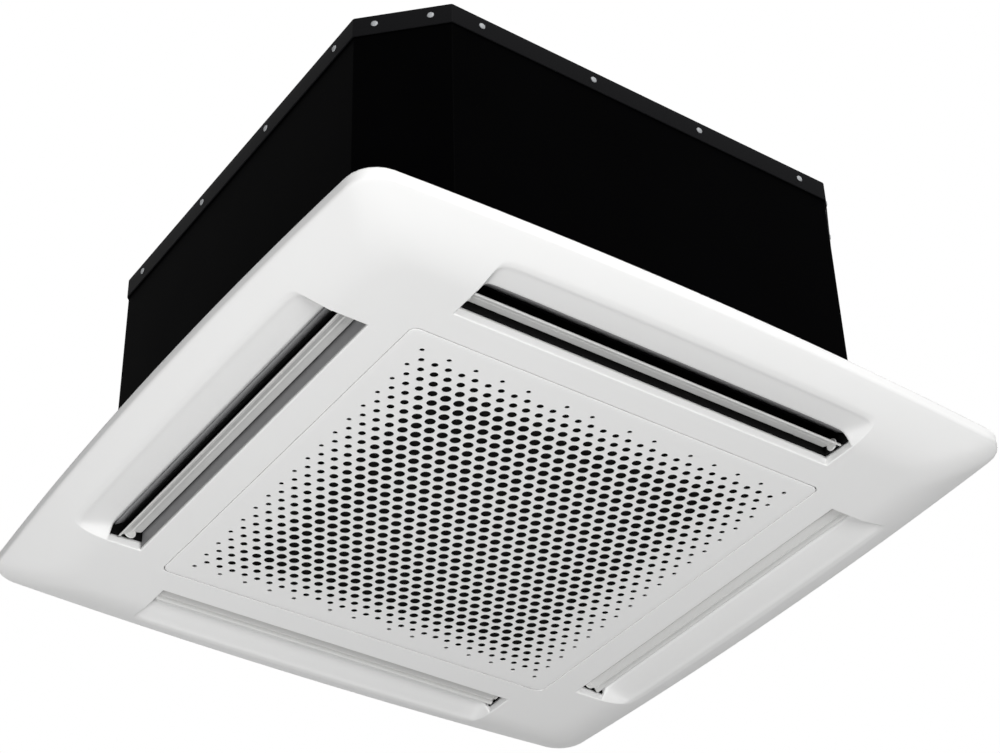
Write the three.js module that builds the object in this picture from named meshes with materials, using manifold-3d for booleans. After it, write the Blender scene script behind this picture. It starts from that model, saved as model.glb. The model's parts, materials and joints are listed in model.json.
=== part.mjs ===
// Compact four-way ceiling cassette air conditioner, in millimetres, +Z up.
// The origin is the centre of the panel on the ceiling's surface: the white panel hangs below
// z = 0, and the black cabinet with the fan, coil and drain stands above it.
// Outlets, vanes and cabinet sides are drawn once on the +X side and copied by quarter turns.
import * as THREE from "three";
import { mergeVertices } from "three/addons/utils/BufferGeometryUtils.js";
import Module from "manifold-3d";

// ---- Driving dimensions ----

const fitGap = 0.3; // between neighbours that touch on the real object
const runningGap = 0.3; // round a turning or sliding piece

// Cabinet
const cabinetSide = 570;
const cabinetHeight = 298;
const cabinetChamfer = 64;
const sheet = 1.2;
const rimHeight = 24;
const rimGap = 0.3;
const rimSheet = 1.5;
const linerThickness = 14;
const linerTop = 11.5;

// Panel
const gasketHeight = 5;
const panelSide = 720;
const panelDepth = 30;
const panelLip = 10;
const panelWall = 3;
const panelCorner = 30;
const panelBow = 10;
const domeWidth = 75;
const bossRadius = 6;

// Outlets: a throat in the panel that leads up into a duct between coil and liner
const ductWidth = 29;
const slotLength = 408;
const slotWidth = 34;
const throatFlare = 20.5; // how far the throat's outer wall stands outside the duct's
const throatHeight = 13; // from the panel's face up to the scoop's inner edge
const throatStraight = 4;
const innerStraight = 22;
const scoopFall = 4.5; // how much lower the scoop is after scoopRun
const scoopRun = 44;
const scoopMouth = 410;
const scoopFloor = 394;
const scoopEnd = 411;

// Vanes
const vaneChord = 27;
const vaneThickness = 2.2;
const vaneCamber = 2.6;
const vaneEndGap = 4;
const vaneTilt = 28;
const vanePinRadius = 2.5;
const vaneDiscRadius = 6;
const vaneMotorRadius = 10;
const vaneMotorLength = 14;
const vaneMotorOffset = 4;

// Intake grille and filter
const grilleSide = 446;
const grilleGap = 1;
const grilleCorner = 8;
const grillePlate = 2.4;
const grilleBorder = 5;
const grilleBorderWidth = 18;
const grilleRimHeight = 9;
const grilleRimWall = 3;
const grilleRimInset = 13;
const ledgeWidth = 8;
const ledgeDepth = 16;
const holeColumns = 10;
const holeRows = 18;
const holePitchX = 41.34;
const holePitchY = 23.6;
const holeSmallest = 5.4;
const holeStep = 2.3;
const holeLargest = 9.9;
const hingeInset = 9;
const hingePinRadius = 1.2;
const hingePinLength = 8;
const filterHeight = 6;
const filterBar = 9;
const filterRib = 3;
const filterMesh = 0.6;
const filterCells = 5;

// Latches
const latchSpread = 240;
const latchSize = 16;
const latchHeight = 12;
const plungerRadius = 2.6;
const plungerLength = 9;
const plungerTravel = 4;

// Drain pan
const panRimHeight = 15;
const panHeight = 63;
const wellInset = 15.5; // from the trough's outer wall to the space that takes the return air
const panWellHeight = 35;
const troughWall = 6;
const troughGap = 2.5; // between its inner wall and the coil
const troughFloor = 10;
const troughOuterWall = 7;
const plugRadius = 11;
const plugInset = 16;

// Coil
const coilThickness = 33;
const coilGap = 6;
const coilHeadroom = 4.7; // under the liner's slab
const coilCorner = 40;
const coilOpening = 118; // distance from the outer corner of the coil's square to its two ends
const endPlate = 1.5;
const bendCount = 4;
const bendRadius = 9;
const bendTube = 3.5;

// Fan and motor
const fanRadius = 165;
const fanInlet = 146;
const fanRise = 71; // from the cabinet's lower edge up to the fan's ring
const fanPlate = 3;
const fanHub = 16;
const bladeCount = 7;
const bladeInner = 104;
const bladeWidth = 3;
const bladeSweep = 34;
const shaftRadius = 5;
const shaftLength = 64;
const motorRadius = 55;
const motorHeight = 62;
const motorGap = 6;
const motorLug = 20;
const motorDrop = 19; // from the cabinet's top down to the motor
const bushRadius = 9;
const nutRadius = 9;
const nutHeight = 9.7;

// Bell mouth
const bellLap = 4; // of its plate over the pan, round the pan's hole
const bellPlate = 2.7;
const bellThroat = 140;
const bellFlare = 35;
const bellWall = 2;
const bellOverlap = 4;

// Refrigerant pipes
const gasPipeRadius = 6.35;
const liquidPipeRadius = 3.175;
const headerRadius = 8;
const headerInset = 22.5; // from the coil's two ends
const headerInside = 7.5; // the coil's outer face
const headerBeyond = 22.5; // the coil's end
const distributorRadius = 9;
const distributorHeight = 30;
const distributorOutside = 5.5; // the coil's inner face
const distributorBeyond = 46.5; // the coil's end
const distributorRise = 10.95; // above the middle of the two lowest bends
const feederRadius = 2;
const feederDrop = 9; // of the first one, below the distributor's foot
const feederStep = 6;
const feederPitch = 3;
const gasPipeBeyond = 65.5; // the coil's end
const gasPipeRise = 30; // above the liquid pipe
const liquidPipeRise = 55; // above the distributor's foot
const pipeStub = 36; // how far the pipes stand out of their plate
const pipePlateWidth = 80;
const pipePlateHeight = 100;
const pipePlateLift = 10; // of its middle, above the middle of the two pipes
const windowInset = 8;
const gasNutRadius = 12;
const gasNutLength = 22;
const liquidNutRadius = 9;
const liquidNutLength = 18;
const nutLip = 4; // of a flare nut, beyond the pipe's end

// Drain
const pumpInset = 27.5; // from the trough's outer wall
const pumpRadius = 28;
const pumpBody = 40;
const pumpMotorRadius = 17;
const pumpMotor = 40;
const suctionRadius = 8;
const suctionHeight = 17;
const hoseRadius = 8;
const hoseOffset = 26;
const portRadius = 13;
const portReach = 36;
const portFlange = 32;
const portDrop = 88; // from the cabinet's top
const floatBeyond = 40.5; // the coil's end
const floatInset = 19.5; // from the trough's outer wall
const floatRadius = 11;
const floatHeight = 14;
const stemRadius = 2;
const pumpPlate = 1.5;
const pumpPlateEnd = 7; // beyond the float stem
const pumpPlateShoulder = 13;
const pumpPlateFront = 8;
const pumpPlateLip = 2; // beyond the pump

// Control box, under the bell mouth's plate
const controlLength = 300;
const controlWidth = 64;
const controlHeight = 40.7;
const controlInset = 4; // from the well's wall
const controlLedgeGap = 2; // inside the panel's ledge
const boardThickness = 1.6;
const boardLength = 140;
const boardWidth = 48;
const postRadius = 2.5;
const postHeight = 10;
const terminalLength = 45;
const terminalWidth = 40;
const terminalHeight = 20;
const capacitorRadius = 12;
const capacitorLength = 60;
const glandRadius = 9;
const glandLength = 15;
const sensorSize = 10;

// Hanger brackets
const bracketWidth = 64;
const bracketHeight = 50;
const bracketSheet = 2.5;
const bracketReach = 40;
const bracketEar = 40;
const bracketZ = 8;
const rodSlotWidth = 13;
const rodSlotLength = 19;

// ---- Places that follow from them ----

const cabinetBase = gasketHeight;
const cabinetTop = cabinetBase + cabinetHeight;
const cabinetHalf = cabinetSide / 2;
const linerOuter = sheet + fitGap; // inset from the cabinet's outside
const linerInner = linerOuter + linerThickness;
const ductOuter = cabinetHalf - linerInner;
const ductInner = ductOuter - ductWidth;
const slotHalf = slotLength / 2;
const slotOuter = ductOuter + throatFlare;
const slotInner = slotOuter - slotWidth;
const faceZ = -panelDepth;
const vaneX = slotInner + slotWidth / 2 - 2.5;
const vaneZ = faceZ + throatHeight;
const grilleHalf = grilleSide / 2;
const openingHalf = grilleHalf + grilleGap;
const ledgeHalf = openingHalf - ledgeWidth;
const ledgeZ = faceZ + ledgeDepth;
const hingeY = grilleHalf - hingeInset;
const hingeZ = faceZ + grilleBorder / 2;
const rimTopZ = faceZ + grilleBorder + grilleRimHeight;
const panFloor = cabinetBase + panWellHeight + troughFloor;
const panTop = cabinetBase + panHeight;
const troughOuter = ductInner - troughOuterWall;
const wellHalf = troughOuter - wellInset;
const coilOuter = troughOuter - coilGap;
const coilInner = coilOuter - coilThickness;
const troughInner = coilInner - troughGap;
const panHoleHalf = troughInner - troughWall;
const bellHalf = panHoleHalf + bellLap;
const coilBase = panFloor + fitGap;
const slabZ = cabinetTop - sheet - fitGap - linerTop;
const coilTop = slabZ - coilHeadroom;
const coilHeight = coilTop - coilBase;
const coilEnd = coilOuter - coilOpening;
const bellZ = cabinetBase + panWellHeight - fitGap - bellPlate;
const motorTop = cabinetTop - motorDrop;
const motorZ = motorTop - motorHeight;
const fanPlateZ = motorZ - motorGap - fanPlate;
const fanBase = cabinetBase + fanRise;
const partitionSum = coilEnd + coilInner + 4;
const pipePlateX = cabinetHalf + fitGap;
const headerX = coilOuter - headerInside;
const headerY = coilEnd + headerBeyond;
const distributorX = coilInner + distributorOutside;
const distributorY = coilEnd + distributorBeyond;
const distributorZ = coilBase + coilHeight / bendCount + distributorRise;
const gasPipeY = coilEnd + gasPipeBeyond;
const liquidPipeZ = distributorZ + liquidPipeRise;
const gasPipeZ = liquidPipeZ + gasPipeRise;
const pipePlateY = gasPipeY;
const pipePlateZ = (liquidPipeZ + gasPipeZ) / 2 + pipePlateLift;
const pumpX = troughOuter - pumpInset;
const pumpY = pumpX;
const floatX = coilEnd + floatBeyond;
const floatY = troughOuter - floatInset;
const portZ = cabinetTop - portDrop;
const pipeReach = pipePlateX + sheet + pipeStub;

// ---- Solids ----

const wasm = await Module();
wasm.setup();

function toManifold(geometry) {
  const bare = geometry.clone();
  bare.deleteAttribute("normal");
  bare.deleteAttribute("uv");
  const merged = mergeVertices(bare, 1e-4);
  const vertProperties = new Float32Array(merged.attributes.position.array);
  const triVerts = new Uint32Array(merged.index.array);
  return new wasm.Manifold(new wasm.Mesh({ numProp: 3, vertProperties, triVerts }));
}

function toGeometry(manifold) {
  const { vertProperties, triVerts } = manifold.getMesh();
  const geometry = new THREE.BufferGeometry();
  geometry.setAttribute("position", new THREE.BufferAttribute(vertProperties, 3));
  geometry.setIndex(new THREE.BufferAttribute(triVerts, 1));
  geometry.computeVertexNormals();
  return geometry;
}

const join = (first, ...others) =>
  toGeometry(others.reduce((sum, g) => sum.add(toManifold(g)), toManifold(first)));
const cut = (first, ...others) =>
  toGeometry(others.reduce((rest, g) => rest.subtract(toManifold(g)), toManifold(first)));
const common = (a, b) => toGeometry(toManifold(a).intersect(toManifold(b)));

// Exact quarter turns about Z, so that copies meet the pieces they are set against.
function quarterTurn(geometry, turns) {
  const c = [1, 0, -1, 0][turns % 4];
  const s = [0, 1, 0, -1][turns % 4];
  const turn = new THREE.Matrix4().set(c, -s, 0, 0, s, c, 0, 0, 0, 0, 1, 0, 0, 0, 0, 1);
  return geometry.clone().applyMatrix4(turn);
}

const box = (x0, x1, y0, y1, z0, z1) =>
  new THREE.BoxGeometry(x1 - x0, y1 - y0, z1 - z0).translate(
    (x0 + x1) / 2,
    (y0 + y1) / 2,
    (z0 + z1) / 2,
  );

// An outline in X and Y with holes, extruded from z0 to z1.
function prism(outline, z0, z1, holes = []) {
  const shape = new THREE.Shape(outline);
  shape.holes = holes.map((hole) => new THREE.Path(hole));
  const options = { depth: z1 - z0, bevelEnabled: false };
  return new THREE.ExtrudeGeometry(shape, options).translate(0, 0, z0);
}

// An outline in X and Z extruded along Y.
function prismAlongY(outline, y0, y1) {
  const lay = new THREE.Matrix4().makeBasis(
    new THREE.Vector3(1, 0, 0),
    new THREE.Vector3(0, 0, 1),
    new THREE.Vector3(0, -1, 0),
  );
  return prism(outline, -y1, -y0).applyMatrix4(lay);
}

function circle(radius, sides, x = 0, y = 0) {
  return Array.from({ length: sides }, (_, i) => {
    const angle = (2 * Math.PI * (i + 0.5)) / sides;
    return new THREE.Vector2(x + radius * Math.cos(angle), y + radius * Math.sin(angle));
  });
}

const cylinder = (radius, z0, z1, sides, x = 0, y = 0) => prism(circle(radius, sides, x, y), z0, z1);
const cylinderAlongY = (radius, y0, y1, sides, x, z) =>
  prismAlongY(circle(radius, sides, x, z), y0, y1);
const cylinderAlongX = (radius, x0, x1, sides, y, z) =>
  quarterTurn(cylinderAlongY(radius, -x1, -x0, sides, y, z), 1);

// A profile of [radius, z] points turned round Z.
function lathe(profile, sides) {
  const points = profile.map(([radius, z]) => new THREE.Vector2(radius, z));
  if (THREE.ShapeUtils.isClockWise(points)) points.reverse();
  return new THREE.LatheGeometry(points, sides).rotateX(Math.PI / 2);
}

// A ring of rectangular section.
const ring = (inner, outer, z0, z1, sides, x = 0, y = 0) =>
  prism(circle(outer, sides, x, y), z0, z1, [circle(inner, sides, x, y)]);

const square = (half) =>
  [[-1, -1], [1, -1], [1, 1], [-1, 1]].map(([x, y]) => new THREE.Vector2(x * half, y * half));

// A square with round corners whose sides bow out by bow at their middle.
function softSquare(half, bow, radius, sideSteps, cornerSteps) {
  const lean = Math.atan((2 * bow) / (half - bow - radius));
  const centre = half - bow - radius * Math.cos(lean);
  const reach = centre + radius * Math.sin(lean);
  const quarter = [];
  for (let i = 0; i < sideSteps; i++) {
    const s = reach * ((2 * i) / sideSteps - 1);
    quarter.push([half - bow * (s / reach) ** 2, s]);
  }
  for (let i = 0; i < cornerSteps; i++) {
    const angle = lean + ((Math.PI / 2 - 2 * lean) * i) / cornerSteps;
    quarter.push([centre + radius * Math.cos(angle), centre + radius * Math.sin(angle)]);
  }
  return [0, 1, 2, 3].flatMap((turns) => {
    const c = [1, 0, -1, 0][turns];
    const s = [0, 1, 0, -1][turns];
    return quarter.map(([x, y]) => new THREE.Vector2(c * x - s * y, s * x + c * y));
  });
}

const roundSquare = (half, radius) => softSquare(half, 0, radius, 1, 3);

// The cabinet's octagon, inset from its outside.
function octagon(inset) {
  const half = cabinetHalf - inset;
  const flat = half - (cabinetChamfer - inset * (2 - Math.SQRT2));
  return [0, 1, 2, 3].flatMap((turns) => {
    const c = [1, 0, -1, 0][turns];
    const s = [0, 1, 0, -1][turns];
    return [[half, -flat], [half, flat]].map(
      ([x, y]) => new THREE.Vector2(c * x - s * y, s * x + c * y),
    );
  });
}

// A closed solid through rings of points of one count, listed from the lowest to the highest.
function loft(rings, heights) {
  const count = rings[0].length;
  const position = rings.flatMap((points, i) => points.flatMap((p) => [p.x, p.y, heights[i]]));
  const index = [];
  for (let level = 0; level + 1 < rings.length; level++) {
    for (let i = 0; i < count; i++) {
      const a = level * count + i;
      const b = level * count + ((i + 1) % count);
      index.push(a, b, b + count, a, b + count, a + count);
    }
  }
  const last = (rings.length - 1) * count;
  for (const [a, b, c] of THREE.ShapeUtils.triangulateShape(rings[0], [])) index.push(c, b, a);
  for (const [a, b, c] of THREE.ShapeUtils.triangulateShape(rings.at(-1), [])) {
    index.push(last + a, last + b, last + c);
  }
  const geometry = new THREE.BufferGeometry();
  geometry.setAttribute("position", new THREE.Float32BufferAttribute(position, 3));
  return geometry.setIndex(index);
}

// A round bar along a path of straight runs joined by arcs of one bend radius.
function bar(points, radius, bend, sides, steps) {
  const corners = points.map((p) => new THREE.Vector3(...p));
  const path = new THREE.CurvePath();
  let from = corners[0];
  for (let i = 1; i + 1 < corners.length; i++) {
    const before = corners[i].clone().sub(corners[i - 1]).setLength(bend);
    const after = corners[i + 1].clone().sub(corners[i]).setLength(bend);
    const start = corners[i].clone().sub(before);
    const end = corners[i].clone().add(after);
    path.add(new THREE.LineCurve3(from, start));
    path.add(new THREE.QuadraticBezierCurve3(start, corners[i], end));
    from = end;
  }
  path.add(new THREE.LineCurve3(from, corners.at(-1)));
  const section = new THREE.Shape(circle(radius, sides));
  return new THREE.ExtrudeGeometry(section, { steps, bevelEnabled: false, extrudePath: path });
}

// ---- Finishes ----

const finish = (color, roughness, metalness = 0) =>
  new THREE.MeshStandardMaterial({ color, roughness, metalness });
const finishes = {
  blackSteel: finish(0x18181a, 0.6, 0.3),
  rimSteel: finish(0x26262a, 0.5, 0.4),
  zinc: finish(0xb4b6b8, 0.4, 0.9),
  foam: finish(0x2a2b2d, 0.95),
  paleFoam: finish(0xd8dadb, 0.9),
  white: finish(0xf2f2ef, 0.45),
  silver: finish(0xc4c6c8, 0.35, 0.2),
  blackPlastic: finish(0x1b1c1e, 0.5),
  greyPlastic: finish(0x8a8d90, 0.5),
  fins: finish(0xc8cccf, 0.4, 0.9),
  copper: finish(0xb4704a, 0.35, 0.9),
  brass: finish(0xb79a56, 0.35, 0.9),
  steel: finish(0xa4a7aa, 0.35, 0.9),
  rubber: finish(0x222222, 0.9),
  board: finish(0x23603a, 0.6),
  hose: finish(0xc9cbc8, 0.6),
  mesh: finish(0x3c3e40, 0.8),
};

const airConditioner = new THREE.Group();

function part(name, geometry, material) {
  const mesh = new THREE.Mesh(geometry, material);
  mesh.name = name;
  airConditioner.add(mesh);
}

const sides = ["right", "back", "left", "front"];

// ---- Panel ----

// The domed solid of the panel, shrunk by a wall for its inside.
function panelDome(wall, top) {
  const steps = [0, 0.22, 0.42, 0.6, 0.76, 0.9, 1];
  const rings = [];
  const heights = [];
  for (const share of steps) {
    const half = panelSide / 2 - domeWidth * (1 - share) - wall;
    rings.push(softSquare(half, panelBow * share, panelCorner, 4, 4));
    heights.push(faceZ + (panelDepth - panelLip) * share ** 2 + wall * (1 - share));
  }
  rings.push(rings.at(-1));
  heights.push(top);
  return loft(rings, heights);
}

// The throat of one outlet, grown by a wall for the duct round it.
function throat(wall) {
  const outline = [
    [slotInner - wall, faceZ - 1],
    [slotOuter + wall, faceZ - 1],
    [slotOuter + wall, vaneZ + throatStraight],
    [ductOuter + wall, 0],
    [ductOuter + wall, 1],
    [ductInner - wall, 1],
    [ductInner - wall, 0],
    [slotInner - wall, faceZ + innerStraight],
  ].map(([x, z]) => new THREE.Vector2(x, z));
  return prismAlongY(outline, -slotHalf - wall, slotHalf + wall);
}

// The scoop that leads the air outwards: a shelf with slanting cheeks at its two ends.
function scoop(wall) {
  const below = 10;
  const start = slotOuter - 0.2;
  const end = slotOuter + scoopRun + 12;
  const floorAt = (x) => throatHeight - (scoopFall * (x - slotOuter)) / scoopRun + wall;
  const cheek = (scoopMouth - scoopFloor) / 2 / throatHeight;
  const spread = (scoopEnd - scoopMouth) / 2 + cheek * (throatHeight - scoopFall);
  const halfAt = (x, height) =>
    scoopMouth / 2 + (spread * (x - slotOuter)) / scoopRun - cheek * (height - wall) + 2 * wall;
  const corners = [start, end].flatMap((x) =>
    [-below, floorAt(x)].flatMap((height) =>
      [-1, 1].map((side) => [x, side * halfAt(x, height), faceZ + height]),
    ),
  );
  const quads = [[0, 2, 3, 1], [4, 5, 7, 6], [0, 1, 5, 4], [2, 6, 7, 3], [0, 4, 6, 2], [1, 3, 7, 5]];
  const geometry = new THREE.BufferGeometry();
  geometry.setAttribute("position", new THREE.Float32BufferAttribute(corners.flat(), 3));
  return geometry.setIndex(quads.flatMap(([a, b, c, d]) => [a, b, c, a, c, d]));
}

// Everything that is open in the panel: four outlets, and the stepped well of the grille.
function panelOpenings(wall) {
  const outlet = join(throat(wall), scoop(wall));
  return [
    ...[0, 1, 2, 3].map((turns) => quarterTurn(outlet, turns)),
    prism(roundSquare(openingHalf + wall, grilleCorner + wall), faceZ - 1, ledgeZ + wall),
    prism(roundSquare(ledgeHalf + wall, grilleCorner + wall), ledgeZ, 1),
  ];
}

const vaneHoleRadius = vanePinRadius + runningGap;
const bossAt = (openingHalf + slotInner) / 2 + bossRadius;

function panelFrame() {
  const skin = cut(panelDome(0, 0), ...panelOpenings(0));
  const inside = cut(panelDome(panelWall, 1), ...panelOpenings(panelWall));
  const bosses = [0, 1, 2, 3].map((turns) =>
    quarterTurn(cylinder(bossRadius, faceZ + panelWall / 2, 0, 8, bossAt, bossAt), turns),
  );
  const pivots = [0, 1, 2, 3].map((turns) =>
    quarterTurn(
      cylinderAlongY(vaneHoleRadius, -slotHalf - 6, slotHalf + 6, 12, vaneX, vaneZ),
      turns,
    ),
  );
  const hinge = cylinderAlongX(
    hingePinRadius + runningGap,
    -openingHalf - panelWall - 1,
    openingHalf + panelWall + 1,
    8,
    hingeY,
    hingeZ,
  );
  return cut(join(cut(skin, inside), ...bosses), ...pivots, hinge);
}

part("panel_frame", panelFrame(), finishes.white);

const ductHole = (wall) =>
  [
    [ductInner + wall, -slotHalf],
    [ductOuter - wall, -slotHalf],
    [ductOuter - wall, slotHalf],
    [ductInner + wall, slotHalf],
  ].map(([x, y]) => new THREE.Vector2(x, y));
const duct = (z0, z1) => prism(ductHole(0), z0, z1);
const ducts = (z0, z1) => [0, 1, 2, 3].map((turns) => quarterTurn(duct(z0, z1), turns));

part(
  "panel_gasket",
  cut(
    prism(octagon(linerOuter), 0, gasketHeight, [square((ledgeHalf + ductInner) / 2)]),
    ...ducts(-1, gasketHeight + 1),
  ),
  finishes.rubber,
);

// ---- Vanes and their motors ----

function vane() {
  const half = vaneChord / 2;
  const steps = 6;
  const rise = (x) => vaneCamber * (1 - (x / half) ** 2) - vaneCamber / 2;
  const thick = (x) => (vaneThickness / 2) * (1 - 0.6 * (x / half) ** 4);
  const stations = Array.from({ length: steps + 1 }, (_, i) => half * ((2 * i) / steps - 1));
  const outline = [
    ...stations.map((x) => new THREE.Vector2(x, rise(x) - thick(x))),
    ...stations.reverse().map((x) => new THREE.Vector2(x, rise(x) + thick(x))),
  ];
  const bladeHalf = slotHalf - vaneEndGap;
  const motorEnd = slotHalf + panelWall / 2;
  const freeEnd = slotHalf + panelWall;
  return join(
    prismAlongY(outline, -bladeHalf, bladeHalf),
    cylinderAlongY(vaneDiscRadius, -bladeHalf, -bladeHalf + 1.5, 10, 0, 0),
    cylinderAlongY(vaneDiscRadius, bladeHalf - 1.5, bladeHalf, 10, 0, 0),
    cylinderAlongY(vanePinRadius, -freeEnd, -bladeHalf + 1, 8, 0, 0),
    cylinderAlongY(vanePinRadius, bladeHalf - 1, motorEnd, 8, 0, 0),
  );
}

function vaneMotor() {
  const start = slotHalf + panelWall + fitGap;
  return join(
    cylinderAlongY(
      vaneMotorRadius,
      start,
      start + vaneMotorLength,
      14,
      vaneX,
      vaneZ + vaneMotorOffset,
    ),
    cylinderAlongY(vanePinRadius, slotHalf + panelWall / 2 + fitGap, start + 1, 12, vaneX, vaneZ),
    box(
      vaneX - vaneMotorRadius - 4,
      vaneX + vaneMotorRadius + 4,
      start,
      start + 1.5,
      vaneZ + vaneMotorOffset - 3,
      vaneZ + vaneMotorOffset + 3,
    ),
  );
}

const restingVane = vane()
  .rotateY(THREE.MathUtils.degToRad(vaneTilt))
  .translate(vaneX, 0, vaneZ);
sides.forEach((side, turns) => {
  part(`vane_${side}`, quarterTurn(restingVane, turns), finishes.silver);
  part(`vane_motor_${side}`, quarterTurn(vaneMotor(), turns), finishes.greyPlastic);
});

// ---- Intake grille, filter, hinge pins and latches ----

// Every third hole of every second row of the real plate's hexagonal pattern. The holes
// grow from the edge of the field inwards.
function grilleHoles() {
  const holes = [];
  for (let row = 0; row < holeRows; row++) {
    for (let column = 0; column < holeColumns; column++) {
      const shift = row % 2 ? 0.25 : -0.25;
      const x = (column - (holeColumns - 1) / 2 + shift) * holePitchX;
      const y = (row - (holeRows - 1) / 2) * holePitchY;
      const rings = Math.min(row, holeRows - 1 - row, column, holeColumns - 1 - column);
      const diameter = Math.min(holeLargest, holeSmallest + holeStep * rings);
      holes.push(circle(diameter / 2, 6, x, y));
    }
  }
  return holes;
}

function intakeGrille() {
  const borderTop = faceZ + grilleBorder;
  const border = roundSquare(grilleHalf, grilleCorner);
  const rim = grilleHalf - grilleRimInset;
  const pinBore = (side) =>
    cylinderAlongX(
      hingePinRadius + fitGap / 2,
      side < 0 ? -grilleHalf - 1 : grilleHalf - hingePinLength + 3,
      side < 0 ? -grilleHalf + hingePinLength - 3 : grilleHalf + 1,
      8,
      hingeY,
      hingeZ,
    );
  return cut(
    join(
      prism(border, faceZ, faceZ + grillePlate, grilleHoles()),
      prism(border, faceZ + 1, borderTop, [square(grilleHalf - grilleBorderWidth)]),
      prism(square(rim), borderTop - 1, rimTopZ, [square(rim - grilleRimWall)]),
    ),
    pinBore(-1),
    pinBore(1),
  );
}

part("intake_grille", intakeGrille(), finishes.white);

function airFilter() {
  const half = grilleHalf - grilleBorderWidth - 2;
  const base = faceZ + grillePlate + fitGap;
  const clear = half - filterBar;
  const ribs = [];
  for (let i = 1; i < filterCells; i++) {
    const at = clear * ((2 * i) / filterCells - 1);
    ribs.push(box(at - filterRib / 2, at + filterRib / 2, -clear - 1, clear + 1, base, base + 3.5));
    ribs.push(box(-clear - 1, clear + 1, at - filterRib / 2, at + filterRib / 2, base, base + 3));
  }
  return join(
    prism(square(half), base, base + filterHeight, [square(clear)]),
    box(-clear - 1, clear + 1, -clear - 1, clear + 1, base, base + filterMesh),
    ...ribs,
  );
}

part("air_filter", airFilter(), finishes.mesh);

const hingePin = cylinderAlongX(
  hingePinRadius,
  grilleHalf + grilleGap + panelWall - 0.5 - hingePinLength,
  grilleHalf + grilleGap + panelWall - 0.5,
  8,
  hingeY,
  hingeZ,
);
part("hinge_pin_right", hingePin, finishes.steel);
part(
  "hinge_pin_left",
  cylinderAlongX(
    hingePinRadius,
    -grilleHalf - grilleGap - panelWall + 0.5,
    -grilleHalf - grilleGap - panelWall + 0.5 + hingePinLength,
    8,
    hingeY,
    hingeZ,
  ),
  finishes.steel,
);

const latchY = -(grilleHalf - grilleRimInset - grilleRimWall / 2);
const plungerZ = rimTopZ + fitGap;
for (const [side, x] of [["left", -latchSpread / 2], ["right", latchSpread / 2]]) {
  const bodyZ = plungerZ + plungerLength + plungerTravel + fitGap + 1.5;
  const body = box(
    x - latchSize / 2,
    x + latchSize / 2,
    -ledgeHalf + fitGap,
    latchY + plungerRadius + 3,
    bodyZ - latchHeight,
    bodyZ,
  );
  const bore = cylinder(plungerRadius + runningGap, bodyZ - latchHeight - 1, bodyZ - 1.5, 12, x, latchY);
  part(`latch_body_${side}`, cut(body, bore), finishes.greyPlastic);
  part(
    `latch_plunger_${side}`,
    cylinder(plungerRadius, plungerZ, plungerZ + plungerLength, 12, x, latchY),
    finishes.white,
  );
}

// ---- Cabinet ----

const rimInset = -(rimGap + rimSheet);
part(
  "top_plate",
  join(
    prism(octagon(rimInset), cabinetTop - sheet, cabinetTop),
    prism(octagon(rimInset), cabinetTop - rimHeight, cabinetTop - sheet / 2, [octagon(-rimGap)]),
  ),
  finishes.rimSteel,
);

const pipeWindow = box(
  ductOuter - 1,
  cabinetHalf + 1,
  pipePlateY - pipePlateWidth / 2 + windowInset,
  pipePlateY + pipePlateWidth / 2 - windowInset,
  pipePlateZ - pipePlateHeight / 2 + windowInset,
  pipePlateZ + pipePlateHeight / 2 - windowInset,
);
const portHole = cylinderAlongY(portRadius + 1, ductOuter - 1, cabinetHalf + 1, 12, pumpX, portZ);

// One side sheet, folded from one piece: two flat sides, each with the chamfer after it.
function sideSheet(turns) {
  const seam = new THREE.Vector2(0, fitGap);
  const outer = octagon(0).slice(0, 5);
  const inner = octagon(sheet).slice(0, 5);
  outer[0].add(seam);
  inner[0].add(seam);
  const piece = prism([...outer, ...inner.reverse()], cabinetBase, cabinetTop - sheet - fitGap);
  return cut(quarterTurn(piece, turns), pipeWindow, portHole);
}

part("side_sheet_right_back", sideSheet(0), finishes.blackSteel);
part("side_sheet_left_front", sideSheet(2), finishes.blackSteel);

part(
  "insulation_liner",
  cut(
    prism(octagon(linerOuter), cabinetBase + panRimHeight + fitGap, cabinetTop - sheet - fitGap),
    prism(octagon(linerInner), cabinetBase, slabZ),
    cylinder(motorRadius + motorLug + 6, slabZ - 1, cabinetTop, 24),
    pipeWindow,
    portHole,
  ),
  finishes.foam,
);

// A hanger bracket is drawn on the +X axis and turned onto its chamfer.
function hangerBracket() {
  const wall = cabinetHalf * Math.SQRT2 - cabinetChamfer / Math.SQRT2 + fitGap;
  const earTop = bracketZ + bracketHeight - 8;
  const slotAt = wall + bracketSheet + (bracketReach - bracketSheet) / 2;
  return cut(
    join(
      box(
        wall,
        wall + bracketSheet,
        -bracketWidth / 2,
        bracketWidth / 2,
        bracketZ,
        bracketZ + bracketHeight,
      ),
      box(wall + 1, wall + bracketReach, -bracketEar / 2, bracketEar / 2, earTop - bracketSheet, earTop),
    ),
    box(
      slotAt - rodSlotLength / 2,
      slotAt + rodSlotLength / 2,
      -rodSlotWidth / 2,
      rodSlotWidth / 2,
      earTop - 10,
      earTop + 10,
    ),
  );
}

const brackets = ["back_right", "back_left", "front_left", "front_right"];
brackets.forEach((corner, turns) => {
  const onChamfer = hangerBracket().rotateZ(Math.PI / 4);
  part(`hanger_bracket_${corner}`, quarterTurn(onChamfer, turns), finishes.zinc);
});

// ---- Drain pan and bell mouth ----

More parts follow.
